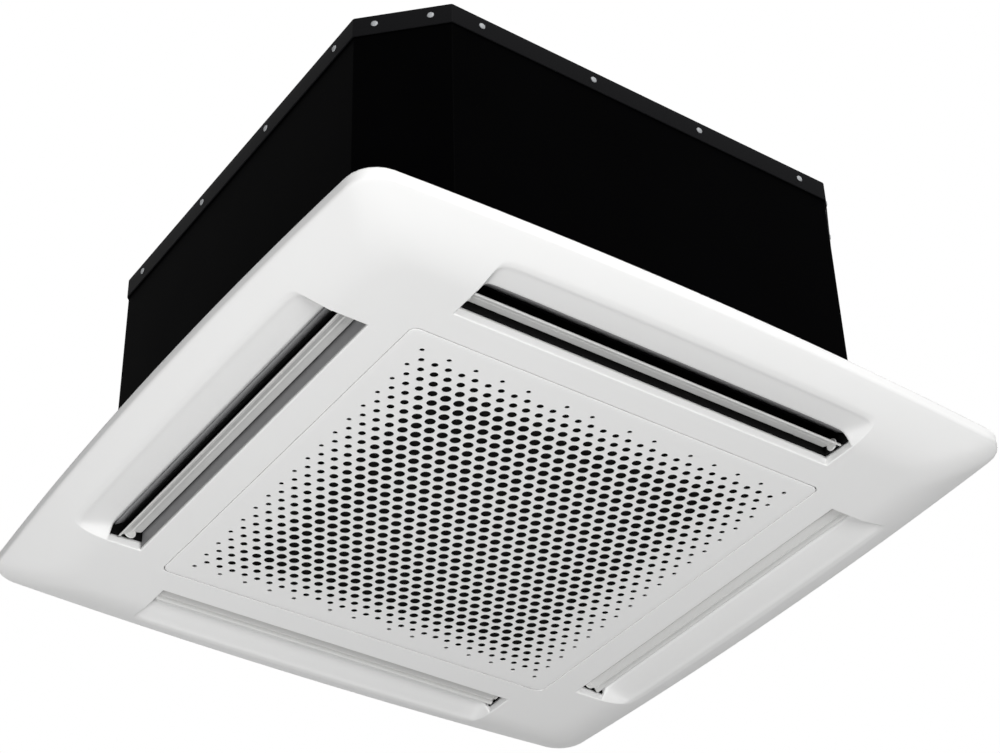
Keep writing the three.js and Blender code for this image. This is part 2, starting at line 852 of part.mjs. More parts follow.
const plugAt = wellHalf - plugInset;
part(
  "drain_pan",
  cut(
    join(
      prism(octagon(linerOuter + fitGap), cabinetBase, cabinetBase + panRimHeight),
      prism(square(ductInner), cabinetBase + 1, panTop),
    ),
    ...ducts(cabinetBase - 1, cabinetBase + panRimHeight + 1),
    prism(square(wellHalf), cabinetBase - 1, cabinetBase + panWellHeight),
    prism(square(panHoleHalf), cabinetBase, panTop + 1),
    prism(square(troughOuter), panFloor, panTop + 1, [square(troughInner)]),
    cylinder(plugRadius + fitGap, cabinetBase, panTop, 12, plugAt, -plugAt),
  ),
  finishes.paleFoam,
);

part(
  "drain_plug",
  join(
    cylinder(plugRadius, cabinetBase + panWellHeight - 2, panFloor, 12, plugAt, -plugAt),
    cylinder(
      plugRadius + 3,
      cabinetBase + panWellHeight - fitGap - 4,
      cabinetBase + panWellHeight - fitGap,
      12,
      plugAt,
      -plugAt,
    ),
  ),
  finishes.rubber,
);

function bellMouth() {
  const lip = fanBase + bellOverlap;
  const curve = Array.from({ length: 6 }, (_, i) => {
    const turn = (Math.PI / 2) * (i / 5);
    return [bellThroat + bellFlare * (1 - Math.sin(turn)), lip - (lip - bellZ) * Math.cos(turn)];
  });
  const back = curve.map(([radius, z]) => [radius + bellWall, z]).reverse();
  const bell = lathe([...curve, ...back, curve[0]], 24);
  const plate = prism(square(bellHalf), bellZ, bellZ + bellPlate, [
    circle(bellThroat + bellFlare + bellWall / 2, 24),
  ]);
  return join(plate, bell);
}

part("bell_mouth", bellMouth(), finishes.blackPlastic);

// ---- Fan ----

function turboFan() {
  const plateTop = fanPlateZ + fanPlate;
  const hub = [
    [shaftRadius + fitGap, plateTop - 26],
    [fanHub, plateTop - 26],
    [fanHub, fanPlateZ],
    [fanRadius, fanPlateZ],
    [fanRadius, plateTop],
    [shaftRadius + fitGap, plateTop],
    [shaftRadius + fitGap, plateTop - 26],
  ];
  const shroud = [
    [fanInlet, fanBase],
    [fanInlet + 3, fanBase],
    [fanRadius, fanBase + 16],
    [fanRadius, fanBase + 19],
    [fanRadius - 3, fanBase + 19],
    [fanInlet, fanBase + 5],
    [fanInlet, fanBase],
  ];
  const space = [
    [0, fanBase + 10],
    [fanInlet + 2, fanBase + 10],
    [fanRadius - 2, fanBase + 17],
    [fanRadius - 2, fanPlateZ + 1],
    [0, fanPlateZ + 1],
  ];
  const length = fanRadius - bladeInner + 14;
  const blade = prism(
    [[0, 0], [0.35, 6], [0.7, 7], [1, 3], [1, 3 + bladeWidth], [0.7, 7 + bladeWidth],
      [0.35, 6 + bladeWidth], [0, bladeWidth]].map(([share, y]) => new THREE.Vector2(share * length, y)),
    fanBase,
    plateTop,
  ).rotateZ(THREE.MathUtils.degToRad(bladeSweep)).translate(bladeInner, 0, 0);
  const blades = Array.from({ length: bladeCount }, (_, i) =>
    blade.clone().rotateZ((2 * Math.PI * i) / bladeCount),
  );
  return join(
    lathe(hub, 28),
    lathe(shroud, 28),
    common(join(...blades), lathe(space, 28)),
  );
}

part("turbo_fan", turboFan(), finishes.blackPlastic);

const hubBase = fanPlateZ + fanPlate - 26;
part(
  "fan_nut",
  prism(circle(nutRadius, 6), hubBase - fitGap - nutHeight, hubBase - fitGap, [
    circle(shaftRadius + fitGap, 12),
  ]),
  finishes.zinc,
);
const shaftBase = hubBase - nutHeight - 4;
part("motor_shaft", cylinder(shaftRadius, shaftBase, shaftBase + shaftLength, 12), finishes.steel);

function fanMotor() {
  const profile = [
    [0, motorZ],
    [motorRadius * 0.7, motorZ],
    [motorRadius, motorZ + 10],
    [motorRadius, motorTop - 6],
    [motorRadius * 0.85, motorTop],
    [0, motorTop],
  ];
  const lug = box(motorRadius - 6, motorRadius + motorLug, -8, 8, motorTop - 14, motorTop - 8);
  const lugs = [0, 1, 2].map((i) => lug.clone().rotateZ((2 * Math.PI * i) / 3));
  const bore = cylinder(shaftRadius + runningGap, motorZ - 1, shaftBase + shaftLength + 1, 12);
  return cut(join(lathe(profile, 20), ...lugs), bore);
}

part("fan_motor", fanMotor(), finishes.steel);
[0, 1, 2].forEach((i) => {
  const angle = (2 * Math.PI * i) / 3;
  const reach = motorRadius + motorLug - bushRadius;
  const x = reach * Math.cos(angle);
  const y = reach * Math.sin(angle);
  part(
    `motor_bush_${i + 1}`,
    cylinder(bushRadius, motorTop - 8 + fitGap, cabinetTop - sheet - fitGap, 10, x, y),
    finishes.rubber,
  );
});

// ---- Coil ----

// The coil's outline: a square loop with round corners, open at the +X +Y corner.
function coilOutline() {
  const loop = (half, radius) => {
    const centre = half - radius;
    const points = [[half, coilEnd]];
    for (const [cx, cy, start] of [[1, -1, 0], [-1, -1, -90], [-1, 1, -180]]) {
      for (let i = 0; i <= 4; i++) {
        const angle = THREE.MathUtils.degToRad(start - (90 * i) / 4);
        points.push([
          cx * centre + radius * Math.cos(angle),
          cy * centre + radius * Math.sin(angle),
        ]);
      }
    }
    points.push([coilEnd, half]);
    return points;
  };
  const outer = loop(coilOuter, coilCorner);
  const inner = loop(coilInner, coilCorner - coilThickness);
  return [...outer, ...inner.reverse()].map(([x, y]) => new THREE.Vector2(x, y));
}

part("coil_fins", prism(coilOutline(), coilBase, coilTop), finishes.fins);

// An end plate across the coil's +Y facing end, with the tubes' return bends.
function coilEndPlate() {
  const from = coilEnd + fitGap;
  const bends = Array.from({ length: bendCount }, (_, i) => {
    const z = coilBase + (coilHeight * (i + 0.5)) / bendCount;
    const x = coilInner + coilThickness / 3;
    const points = [
      [x, from, z - bendRadius],
      [x, from + bendRadius * 2, z - bendRadius],
      [x, from + bendRadius * 2, z + bendRadius],
      [x, from, z + bendRadius],
    ];
    return bar(points, bendTube, bendRadius - 1, 6, 6);
  });
  return join(
    box(coilInner - 1, coilOuter + 1, from, from + endPlate, coilBase, coilTop),
    ...bends,
  );
}

part("coil_end_plate_right", coilEndPlate(), finishes.zinc);
part(
  "coil_end_plate_back",
  coilEndPlate().applyMatrix4(
    new THREE.Matrix4().set(0, 1, 0, 0, 1, 0, 0, 0, 0, 0, -1, coilBase + coilTop, 0, 0, 0, 1),
  ),
  finishes.zinc,
);
part(
  "coil_partition",
  prism(
    [
      [coilInner, partitionSum - coilInner],
      [coilInner, partitionSum - coilInner + sheet],
      [partitionSum - coilInner + sheet, coilInner],
      [partitionSum - coilInner, coilInner],
    ].map(([x, y]) => new THREE.Vector2(x, y)),
    panTop + fitGap,
    coilTop,
  ),
  finishes.zinc,
);

// ---- Refrigerant pipes ----

const plateFace = coilEnd + fitGap + endPlate + fitGap;
const headerZ = coilBase + headerInset;
const headerHeight = coilHeight - 2 * headerInset;
part(
  "gas_header",
  join(
    cylinder(headerRadius, headerZ, headerZ + headerHeight, 12, headerX, headerY),
    ...[0, 1, 2, 3].map((i) =>
      cylinderAlongY(
        bendTube,
        plateFace,
        headerY,
        8,
        headerX,
        headerZ + (headerHeight * (i + 0.5)) / 4,
      ),
    ),
  ),
  finishes.copper,
);

part(
  "liquid_distributor",
  join(
    lathe(
      [
        [0, 0],
        [distributorRadius, 0],
        [distributorRadius, distributorHeight * 0.5],
        [liquidPipeRadius + 1, distributorHeight],
        [0, distributorHeight],
      ],
      12,
    ).translate(distributorX, distributorY, distributorZ),
    ...[0, 1, 2].map((i) =>
      bar(
        [
          [distributorX + feederPitch * i, distributorY, distributorZ + 2],
          [distributorX + feederPitch * i, distributorY, distributorZ - feederDrop - feederStep * i],
          [distributorX + feederPitch * i, plateFace, distributorZ - feederDrop - feederStep * i],
        ],
        feederRadius,
        8,
        6,
        8,
      ),
    ),
  ),
  finishes.brass,
);

part(
  "gas_pipe",
  bar(
    [
      [headerX, headerY + headerRadius + fitGap, gasPipeZ],
      [headerX, gasPipeY, gasPipeZ],
      [pipeReach, gasPipeY, gasPipeZ],
    ],
    gasPipeRadius,
    25,
    10,
    14,
  ),
  finishes.copper,
);
part(
  "liquid_pipe",
  bar(
    [
      [distributorX, distributorY, distributorZ + distributorHeight + fitGap],
      [distributorX, distributorY, liquidPipeZ],
      [pipeReach, distributorY, liquidPipeZ],
    ],
    liquidPipeRadius,
    15,
    8,
    14,
  ),
  finishes.copper,
);

// A flare nut over the end of a pipe that runs along X.
const flareNut = (radius, length, pipe, y, z) =>
  cut(
    cylinderAlongX(radius, pipeReach + nutLip - length, pipeReach + nutLip, 6, y, z),
    cylinderAlongX(pipe + 2 * fitGap, pipeReach - length, pipeReach + nutLip + 1, 10, y, z),
  );
part(
  "gas_flare_nut",
  flareNut(gasNutRadius, gasNutLength, gasPipeRadius, gasPipeY, gasPipeZ),
  finishes.brass,
);
part(
  "liquid_flare_nut",
  flareNut(liquidNutRadius, liquidNutLength, liquidPipeRadius, distributorY, liquidPipeZ),
  finishes.brass,
);

part(
  "pipe_plate",
  cut(
    box(
      pipePlateX,
      pipePlateX + sheet,
      pipePlateY - pipePlateWidth / 2,
      pipePlateY + pipePlateWidth / 2,
      pipePlateZ - pipePlateHeight / 2,
      pipePlateZ + pipePlateHeight / 2,
    ),
    cylinderAlongX(gasPipeRadius + 1, cabinetHalf, cabinetHalf + 9, 12, gasPipeY, gasPipeZ),
    cylinderAlongX(liquidPipeRadius + 1, cabinetHalf, cabinetHalf + 9, 12, distributorY, liquidPipeZ),
  ),
  finishes.zinc,
);

// ---- Drain pump, hose, port and float switch ----

const suctionZ = panFloor + 3;
const pumpZ = suctionZ + suctionHeight;
const pumpTop = pumpZ + pumpBody + pumpMotor;
const hoseY = pumpY + hoseOffset;
part(
  "drain_pump",
  join(
    cylinder(suctionRadius, suctionZ, pumpZ + 1, 12, pumpX, pumpY),
    cylinder(pumpRadius, pumpZ, pumpZ + pumpBody, 16, pumpX, pumpY),
    cylinder(pumpMotorRadius, pumpZ + pumpBody - 1, pumpTop, 14, pumpX, pumpY - 6),
    box(
      pumpX - hoseRadius,
      pumpX + hoseRadius,
      pumpY,
      hoseY + hoseRadius,
      pumpZ + pumpBody - 12,
      pumpZ + pumpBody,
    ),
  ),
  finishes.blackPlastic,
);

part(
  "drain_hose",
  bar(
    [
      [pumpX, hoseY, pumpZ + pumpBody + fitGap],
      [pumpX, hoseY, portZ],
      [pumpX, cabinetHalf - linerInner - fitGap, portZ],
    ],
    hoseRadius,
    cabinetHalf - linerInner - fitGap - hoseY - 4,
    10,
    12,
  ),
  finishes.hose,
);

const portStart = cabinetHalf - linerInner;
part(
  "drain_port",
  cut(
    join(
      cylinderAlongY(portRadius, portStart, cabinetHalf + portReach, 12, pumpX, portZ),
      box(
        pumpX - portFlange / 2,
        pumpX + portFlange / 2,
        cabinetHalf + fitGap,
        cabinetHalf + fitGap + 2,
        portZ - portFlange / 2,
        portZ + portFlange / 2,
      ),
    ),
    cylinderAlongY(portRadius - 3, portStart - 1, cabinetHalf + portReach + 1, 12, pumpX, portZ),
  ),
  finishes.greyPlastic,
);

const pumpPlateZ = pumpTop + fitGap;
const partitionSide = partitionSum + 2 * sheet;
part(
  "pump_bracket",
  cut(
    prism(
      [
        [floatX - pumpPlateEnd, partitionSide - floatX + pumpPlateEnd],
        [floatX + pumpPlateShoulder, partitionSide - floatX - pumpPlateShoulder],
        [pumpX + pumpRadius + pumpPlateLip, pumpY - pumpPlateFront],
        [pumpX + pumpRadius + pumpPlateLip, hoseY + 2 * hoseRadius],
        [floatX - pumpPlateEnd, floatY + floatRadius],
      ].map(([x, y]) => new THREE.Vector2(x, y)),
      pumpPlateZ,
      pumpPlateZ + pumpPlate,
    ),
    cylinder(hoseRadius + 2, pumpPlateZ - 1, pumpPlateZ + pumpPlate + 1, 12, pumpX, hoseY),
  ),
  finishes.zinc,
);

const stopZ = panFloor + 2.5;
part(
  "float_stem",
  join(
    cylinder(stemRadius, stopZ, pumpPlateZ - fitGap, 10, floatX, floatY),
    cylinder(stemRadius + 3, stopZ, stopZ + 1.5, 10, floatX, floatY),
  ),
  finishes.white,
);
part(
  "float",
  ring(
    stemRadius + 0.6,
    floatRadius,
    stopZ + 1.5 + fitGap,
    stopZ + 1.5 + fitGap + floatHeight,
    14,
    floatX,
    floatY,
  ),
  finishes.white,
);

// ---- Control box ----

const controlTop = bellZ - fitGap;
const controlBase = controlTop - controlHeight;
const controlBack = Math.min(wellHalf - controlInset, ledgeHalf - controlLedgeGap);
const controlFront = controlBack - controlWidth;
const controlMiddle = (controlBack + controlFront) / 2;
const boardTop = controlTop - sheet - postHeight;
part(
  "control_box",
  join(
    cut(
      box(-controlLength / 2, controlLength / 2, controlFront, controlBack, controlBase, controlTop),
      box(
        -controlLength / 2 + sheet,
        controlLength / 2 - sheet,
        controlFront + sheet,
        controlBack - sheet,
        controlBase - 1,
        controlTop - sheet,
      ),
    ),
    ...[[-1, -1], [1, -1], [1, 1], [-1, 1]].map(([x, y]) =>
      cylinder(
        postRadius,
        boardTop + fitGap,
        controlTop - sheet / 2,
        8,
        x * (boardLength / 2 - 5),
        controlMiddle + y * (boardWidth / 2 - 5),
      ),
    ),
  ),
  finishes.zinc,
);
part(
  "control_box_cover",
  box(
    -controlLength / 2,
    controlLength / 2,
    controlFront,
    controlBack,
    controlBase - fitGap - sheet,
    controlBase - fitGap,
  ),
  finishes.zinc,
);
part(
  "circuit_board",
  box(
    -boardLength / 2,
    boardLength / 2,
    controlMiddle - boardWidth / 2,
    controlMiddle + boardWidth / 2,
    boardTop - boardThickness,
    boardTop,
  ),
  finishes.board,
);
const terminalX = (boardLength + controlLength) / 4;
part(
  "terminal_block",
  join(
    box(
      terminalX - terminalLength / 2,
      terminalX + terminalLength / 2,
      controlMiddle - terminalWidth / 2,
      controlMiddle + terminalWidth / 2,
      controlTop - sheet - fitGap - terminalHeight,
      controlTop - sheet - fitGap,
    ),
    ...[-1, 0, 1].map((i) =>
      box(
        terminalX + i * (terminalLength / 3) - 1,
        terminalX + i * (terminalLength / 3) + 1,
        controlMiddle - terminalWidth / 2,
        controlMiddle + terminalWidth / 2,
        controlTop - sheet - terminalHeight - 5,
        controlTop - sheet - terminalHeight,
      ),
    ),
  ),
  finishes.blackPlastic,
);
part(
  "capacitor",
  cylinderAlongX(
    capacitorRadius,
    -terminalX - capacitorLength / 2,
    -terminalX + capacitorLength / 2,
    16,
    controlMiddle,
    controlTop - sheet - fitGap - capacitorRadius,
  ),
  finishes.zinc,
);
const glandStart = controlLength / 2 + fitGap;
const glandBarrel = (radius, start, length, sides) =>
  cylinderAlongX(radius, start, start + length, sides, controlMiddle, controlBase + 16);
part(
  "cable_gland",
  cut(
    join(
      glandBarrel(glandRadius, glandStart, 5, 6),
      glandBarrel(glandRadius - 2, glandStart, glandLength, 12),
    ),
    glandBarrel(glandRadius - 5, glandStart - 1, glandLength + 2, 10),
  ),
  finishes.blackPlastic,
);
part(
  "air_sensor",
  box(
    -bellHalf + 4,
    -bellHalf + 4 + sensorSize,
    -sensorSize / 2,
    sensorSize / 2,
    bellZ - fitGap - sensorSize,
    bellZ - fitGap,
  ),
  finishes.white,
);

export default airConditioner;
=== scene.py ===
"""Looks of a compact four-way ceiling cassette air conditioner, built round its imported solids.

The camera stands below the unit and looks up at its white panel, with the black cabinet
behind it. Sizes are in millimetres until a mesh is made, and +Z is up.
"""

import functools
import json
import logging
import math
from dataclasses import dataclass
from enum import Enum
from typing import Sequence

import bmesh
import bpy
import numpy as np
from mathutils import Matrix, Vector


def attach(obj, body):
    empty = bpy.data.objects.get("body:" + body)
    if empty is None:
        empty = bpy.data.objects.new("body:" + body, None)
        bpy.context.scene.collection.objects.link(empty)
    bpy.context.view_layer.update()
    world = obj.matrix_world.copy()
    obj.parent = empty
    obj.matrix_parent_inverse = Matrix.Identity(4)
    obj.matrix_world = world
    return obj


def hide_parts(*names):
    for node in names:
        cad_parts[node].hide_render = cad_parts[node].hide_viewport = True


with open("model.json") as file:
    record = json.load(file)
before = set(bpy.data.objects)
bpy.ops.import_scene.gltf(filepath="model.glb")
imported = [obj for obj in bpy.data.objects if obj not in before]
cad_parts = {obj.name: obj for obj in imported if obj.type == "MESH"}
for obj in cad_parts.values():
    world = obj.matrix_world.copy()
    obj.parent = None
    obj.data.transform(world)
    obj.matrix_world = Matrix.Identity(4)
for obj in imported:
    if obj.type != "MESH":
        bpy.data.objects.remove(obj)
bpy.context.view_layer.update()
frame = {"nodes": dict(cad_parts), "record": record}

MM = 0.001
WELD = 0.00002
WAVES_PER_SCALE = 20
QUARTERS = ((1, 0), (0, 1), (-1, 0), (0, -1))
SIDES = ("right", "back", "left", "front")
Points = np.ndarray
Tree = bpy.types.NodeTree
Socket = bpy.types.NodeSocket

log = logging.getLogger("cassette")


# ---- Finishes ----


class Grain(Enum):
    """The small-scale texture of a finish."""

    MOULDED = "moulded"
    PAINTED = "painted"
    GALVANISED = "galvanised"
    TURNED = "turned"
    FOAMED = "foamed"
    WOVEN = "woven"
    FINNED = "finned"


@dataclass(frozen=True)
class Finish:
    """One finish of the unit: its colour, gloss and grain.

    Args:
        name: The material's name.
        color: Linear red, green and blue.
        roughness: Middle of the roughness.
        grain: The texture that its bump and colour follow.
        metallic: 0 or 1.
        specular: Strength of the gloss at right angles.
        tint: Share by which the colour wanders.
        spread: How far the roughness wanders.
        relief: Height of the grain in millimetres.
        size: Size of the grain in millimetres.
    """

    name: str
    color: tuple
    roughness: float
    grain: Grain = Grain.MOULDED
    metallic: float = 0.0
    specular: float = 0.5
    tint: float = 0.03
    spread: float = 0.06
    relief: float = 0.02
    size: float = 1.2

    @functools.cache
    def material(self) -> bpy.types.Material:
        """The finish as a material, made once.

        Returns:
            The material with its node tree.
        """
        material = bpy.data.materials.new(f"{self.name}_finish")
        material.use_nodes = True
        tree = material.node_tree
        shader = tree.nodes["Principled BSDF"]
        shader.inputs["Metallic"].default_value = self.metallic
        shader.inputs["Specular IOR Level"].default_value = self.specular
        coordinates = tree.nodes.new("ShaderNodeTexCoord").outputs["Object"]
        wander = self._noise(tree, coordinates, 9.0, 4.0)
        self._colour(tree, wander, coordinates, shader)
        rough = tree.nodes.new("ShaderNodeMapRange")
        rough.inputs["To Min"].default_value = self.roughness - self.spread
        rough.inputs["To Max"].default_value = self.roughness + self.spread
        tree.links.new(wander, rough.inputs["Value"])
        tree.links.new(rough.outputs["Result"], shader.inputs["Roughness"])
        bump = tree.nodes.new("ShaderNodeBump")
        bump.inputs["Distance"].default_value = self.relief * MM
        tree.links.new(self._height(tree, coordinates), bump.inputs["Height"])
        tree.links.new(bump.outputs["Normal"], shader.inputs["Normal"])
        return material

    def _noise(self, tree: Tree, coordinates: Socket, scale: float, detail: float) -> Socket:
        """Soft noise.

        Args:
            tree: The material's nodes.
            coordinates: The places that it follows.
            scale: Grains per metre.
            detail: Steps of finer noise on top.

        Returns:
            Its output socket.
        """
        noise = tree.nodes.new("ShaderNodeTexNoise")
        noise.inputs["Scale"].default_value = scale
        noise.inputs["Detail"].default_value = detail
        tree.links.new(coordinates, noise.inputs["Vector"])
        return noise.outputs["Fac"]

    def _colour(self, tree: Tree, wander: Socket, coordinates: Socket, shader: bpy.types.Node) -> None:
        """Links a colour that wanders between a darker and a lighter tint.

        Args:
            tree: The material's nodes.
            wander: Slow noise, which most finishes follow.
            coordinates: Places for the grain, which the others follow.
            shader: The shader that takes the colour.
        """
        mix = tree.nodes.new("ShaderNodeMix")
        mix.data_type = "RGBA"
        low = [c * (1 - self.tint) for c in self.color]
        high = [min(1.0, c * (1 + self.tint)) for c in self.color]
        mix.inputs["A"].default_value = (*low, 1)
        mix.inputs["B"].default_value = (*high, 1)
        source = wander
        if self.grain in (Grain.GALVANISED, Grain.WOVEN, Grain.FINNED):
            source = self._height(tree, coordinates)
        tree.links.new(source, mix.inputs["Factor"])
        tree.links.new(mix.outputs["Result"], shader.inputs["Base Color"])

    def _height(self, tree: Tree, coordinates: Socket) -> Socket:
        """The grain's height, from 0 to 1.

        Args:
            tree: The material's nodes.
            coordinates: The places that it follows.

        Returns:
            Its output socket.
        """
        grains = 1 / (self.size * MM)
        if self.grain in (Grain.GALVANISED, Grain.FOAMED):
            cells = tree.nodes.new("ShaderNodeTexVoronoi")
            cells.inputs["Scale"].default_value = grains
            tree.links.new(coordinates, cells.inputs["Vector"])
            if self.grain is Grain.FOAMED:
                return cells.outputs["Distance"]
            shade = tree.nodes.new("ShaderNodeSeparateColor")
            tree.links.new(cells.outputs["Color"], shade.inputs["Color"])
            return shade.outputs["Red"]
        if self.grain in (Grain.WOVEN, Grain.FINNED):
            return self._threads(tree, coordinates, grains)
        if self.grain is Grain.TURNED:
            stretch = tree.nodes.new("ShaderNodeMapping")
            stretch.inputs["Scale"].default_value = (0.06, 0.06, 1)
            tree.links.new(coordinates, stretch.inputs["Vector"])
            return self._noise(tree, stretch.outputs["Vector"], grains, 2.0)
        return self._noise(tree, coordinates, grains, 2.0)

    def _threads(self, tree: Tree, coordinates: Socket, grains: float) -> Socket:
        """Parallel threads or fins along Z, crossed by others in a woven finish.

        Args:
            tree: The material's nodes.
            coordinates: The places that they follow.
            grains: Threads per metre.

        Returns:
            The output socket of their height.
        """
        axes = ("X", "Y") if self.grain is Grain.WOVEN else ("DIAGONAL",)
        heights = []
        for axis in axes:
            wave = tree.nodes.new("ShaderNodeTexWave")
            wave.bands_direction = axis
            wave.inputs["Scale"].default_value = grains / WAVES_PER_SCALE
            wave.inputs["Detail"].default_value = 0.0
            tree.links.new(coordinates, wave.inputs["Vector"])
            heights.append(wave.outputs["Fac"])
        if len(heights) == 1:
            return heights[0]
        both = tree.nodes.new("ShaderNodeMath")
        both.operation = "MAXIMUM"
        tree.links.new(heights[0], both.inputs[0])
        tree.links.new(heights[1], both.inputs[1])
        return both.outputs["Value"]


PANEL_WHITE = Finish(
    "panel_white", (0.84, 0.84, 0.835), 0.42, specular=0.2, tint=0.012, relief=0.012, size=1.6
)
SMALL_WHITE = Finish("small_white", (0.74, 0.74, 0.72), 0.45)
VANE_GREY = Finish("vane_silver", (0.62, 0.62, 0.61), 0.34, tint=0.04, relief=0.01)
# Real grey plastic on the drain port; on the outlets' white walls the same grey is painted shade.
GREY_PLASTIC_AND_PAINTED_SHADE = Finish("grey_plastic", (0.2, 0.2, 0.205), 0.5)
FILTER_MESH = Finish(
    "filter_mesh", (0.004, 0.0037, 0.0034), 0.9, Grain.WOVEN,
    specular=0.05, tint=0.5, relief=0.2, size=1.4,
)
BLACK_FOAM = Finish(
    "black_foam", (0.004, 0.004, 0.004), 0.9, Grain.FOAMED, specular=0.05, relief=0.2, size=2.5
)
PAN_FOAM = Finish(
    "pan_foam", (0.02, 0.02, 0.021), 0.9, Grain.FOAMED, specular=0.1, relief=0.2, size=3.0
)
BRIGHT_STEEL = Finish("bright_steel", (0.62, 0.62, 0.63), 0.25, Grain.TURNED, metallic=1.0, size=0.6)
MOTOR_STEEL = Finish("motor_steel", (0.3, 0.31, 0.32), 0.45, Grain.PAINTED, size=2.0)
RIM_STEEL = Finish(
    "cabinet_rim", (0.005, 0.005, 0.0055), 0.6, Grain.PAINTED, specular=0.02, tint=0.2, size=1.5
)
BLACK_STEEL = Finish(
    "cabinet_black", (0.0007, 0.0007, 0.0008), 0.45, Grain.PAINTED,
    specular=0.002, tint=0.4, relief=0.03, size=1.5,
)
ZINC_STEEL = Finish(
    "zinc_steel", (0.55, 0.56, 0.57), 0.36, Grain.GALVANISED,
    metallic=1.0, tint=0.12, relief=0.01, size=9.0,
)
BLACK_RUBBER = Finish("black_rubber", (0.015, 0.015, 0.015), 0.85, Grain.FOAMED, size=0.8, specular=0.2)
BLACK_PLASTIC = Finish("black_plastic", (0.012, 0.012, 0.013), 0.48, tint=0.1, specular=0.35)
COIL_FINS = Finish(
    "coil_aluminium", (0.66, 0.68, 0.7), 0.38, Grain.FINNED,
    metallic=1.0, tint=0.35, relief=0.6, size=1.8,
)
COPPER = Finish("copper", (0.62, 0.26, 0.13), 0.3, Grain.TURNED, metallic=1.0, tint=0.1, size=0.8)
BRASS = Finish("brass", (0.6, 0.42, 0.16), 0.28, Grain.TURNED, metallic=1.0, size=0.5)
PALE_HOSE = Finish("pale_hose", (0.46, 0.47, 0.45), 0.55, size=1.5)
GREEN_BOARD = Finish("green_board", (0.02, 0.11, 0.045), 0.4, tint=0.2, size=3.0)
FINISHES = {
    finish.name: finish
    for finish in (
        PANEL_WHITE, SMALL_WHITE, VANE_GREY, GREY_PLASTIC_AND_PAINTED_SHADE, FILTER_MESH, BLACK_FOAM, PAN_FOAM,
        BRIGHT_STEEL, MOTOR_STEEL, RIM_STEEL, BLACK_STEEL, ZINC_STEEL, BLACK_RUBBER,
        BLACK_PLASTIC, COIL_FINS, COPPER, BRASS, PALE_HOSE, GREEN_BOARD,
    )
}


# ---- Surfaces ----


class Skin:
    """Grids of points that are welded into one mesh."""

    def __init__(self) -> None:
        """An empty skin."""
        self.points: list = []
        self.faces: list = []
        self.count = 0

    def add(self, grid: Points, closed: bool = False) -> "Skin":
        """Adds the four-sided faces of a grid.

        Args:
            grid: Rows x columns x 3 places in millimetres.
            closed: Whether the last column meets the first.

        Returns:
            The skin itself.
        """
        rows, columns = grid.shape[:2]
        index = np.arange(rows * columns).reshape(rows, columns) + self.count
        if closed:
            index = np.concatenate([index, index[:, :1]], axis=1)
        corners = [index[:-1, :-1], index[:-1, 1:], index[1:, 1:], index[1:, :-1]]
        faces = np.stack(corners, -1).reshape(-1, 4)
        return self.add_faces(grid.reshape(-1, 3), faces - self.count)

    def add_faces(self, points: Points, faces: Points) -> "Skin":
        """Adds points and the four-sided faces among them.

        Args:
            points: A list of places in millimetres.
            faces: Rows of four indices into that list.

        Returns:
            The skin itself.
        """
        self.points.append(points)
        self.faces.append(faces + self.count)
        self.count += len(points)
        return self

    def add_turned(self, grid: Points, closed: bool = False) -> "Skin":
        """Adds a grid and its three copies by quarter turns.

        Args:
            grid: Rows x columns x 3 places in millimetres.
            closed: Whether the last column meets the first.

        Returns:
            The skin itself.
        """
        for cosine, sine in QUARTERS:
            self.add(turn_about_z(grid, cosine, sine), closed)
        return self

    def mesh(self, name: str) -> bpy.types.Mesh:
        """The welded mesh in metres, with its faces turned outwards.

        Args:
            name: The mesh's name.

        Returns:
            The new mesh.
        """
        points = np.concatenate(self.points) * MM
        faces = np.concatenate(self.faces)
        mesh = bpy.data.meshes.new(name)
        mesh.vertices.add(len(points))
        mesh.vertices.foreach_set("co", points.astype(np.float32).ravel())
        mesh.loops.add(faces.size)
        mesh.loops.foreach_set("vertex_index", faces.astype(np.int32).ravel())
        mesh.polygons.add(len(faces))
        mesh.polygons.foreach_set("loop_start", np.arange(0, faces.size, 4, dtype=np.int32))
        mesh.update(calc_edges=True)
        shape = bmesh.new()
        shape.from_mesh(mesh)
        bmesh.ops.remove_doubles(shape, verts=shape.verts, dist=WELD)
        bmesh.ops.dissolve_degenerate(shape, edges=shape.edges, dist=WELD / 4)
        bmesh.ops.recalc_face_normals(shape, faces=shape.faces)
        shape.to_mesh(mesh)
        shape.free()
        return mesh


def turn_about_z(points: Points, cosine: float, sine: float) -> Points:
    """Points turned about Z: x' = cx - sy, y' = sx + cy.

    Args:
        points: Any array of places.
        cosine: Cosine c of the turn.
        sine: Sine s of the turn.

    Returns:
        The turned points.
    """
    x, y, z = points[..., 0], points[..., 1], points[..., 2]
    return np.stack([cosine * x - sine * y, sine * x + cosine * y, z], -1)


def blend(first: Points, last: Points, shares: Sequence[float]) -> Points:
    """Rows that go straight from one line of points to another.

    Args:
        first: The line at share 0.
        last: The line at share 1, point for point.
        shares: Where the rows lie between them.

    Returns:
        One row for each share, as first + share (last - first).
    """
    share = np.asarray(shares, float)[:, None, None]
    return first[None] + share * (last - first)[None]


def rise(distance: Points, radius: float | Points) -> Points:
    """How far a rounded edge has left its face: r - sqrt(r^2 - (r - d)^2) within r of the edge.

    Args:
        distance: How far each place lies from the edge.
        radius: The edge's radius, one for all or one for each place.

    Returns:
        The height of the rounding at each distance from the edge.
    """
    reach = np.clip(radius - distance, 0, radius)
    return radius - np.sqrt(np.maximum(radius**2 - reach**2, 0))


def smooth_max(a: Points, b: Points, width: float) -> Points:
    """The larger of two heights with a rounded crease: (a + b + sqrt((a - b)^2 + w^2)) / 2.

    Args:
        a: One height.
        b: The other.
        width: Width w of the crease, in height.

    Returns:
        The smoothed heights.
    """
    return (a + b + np.sqrt((a - b) ** 2 + width**2)) / 2


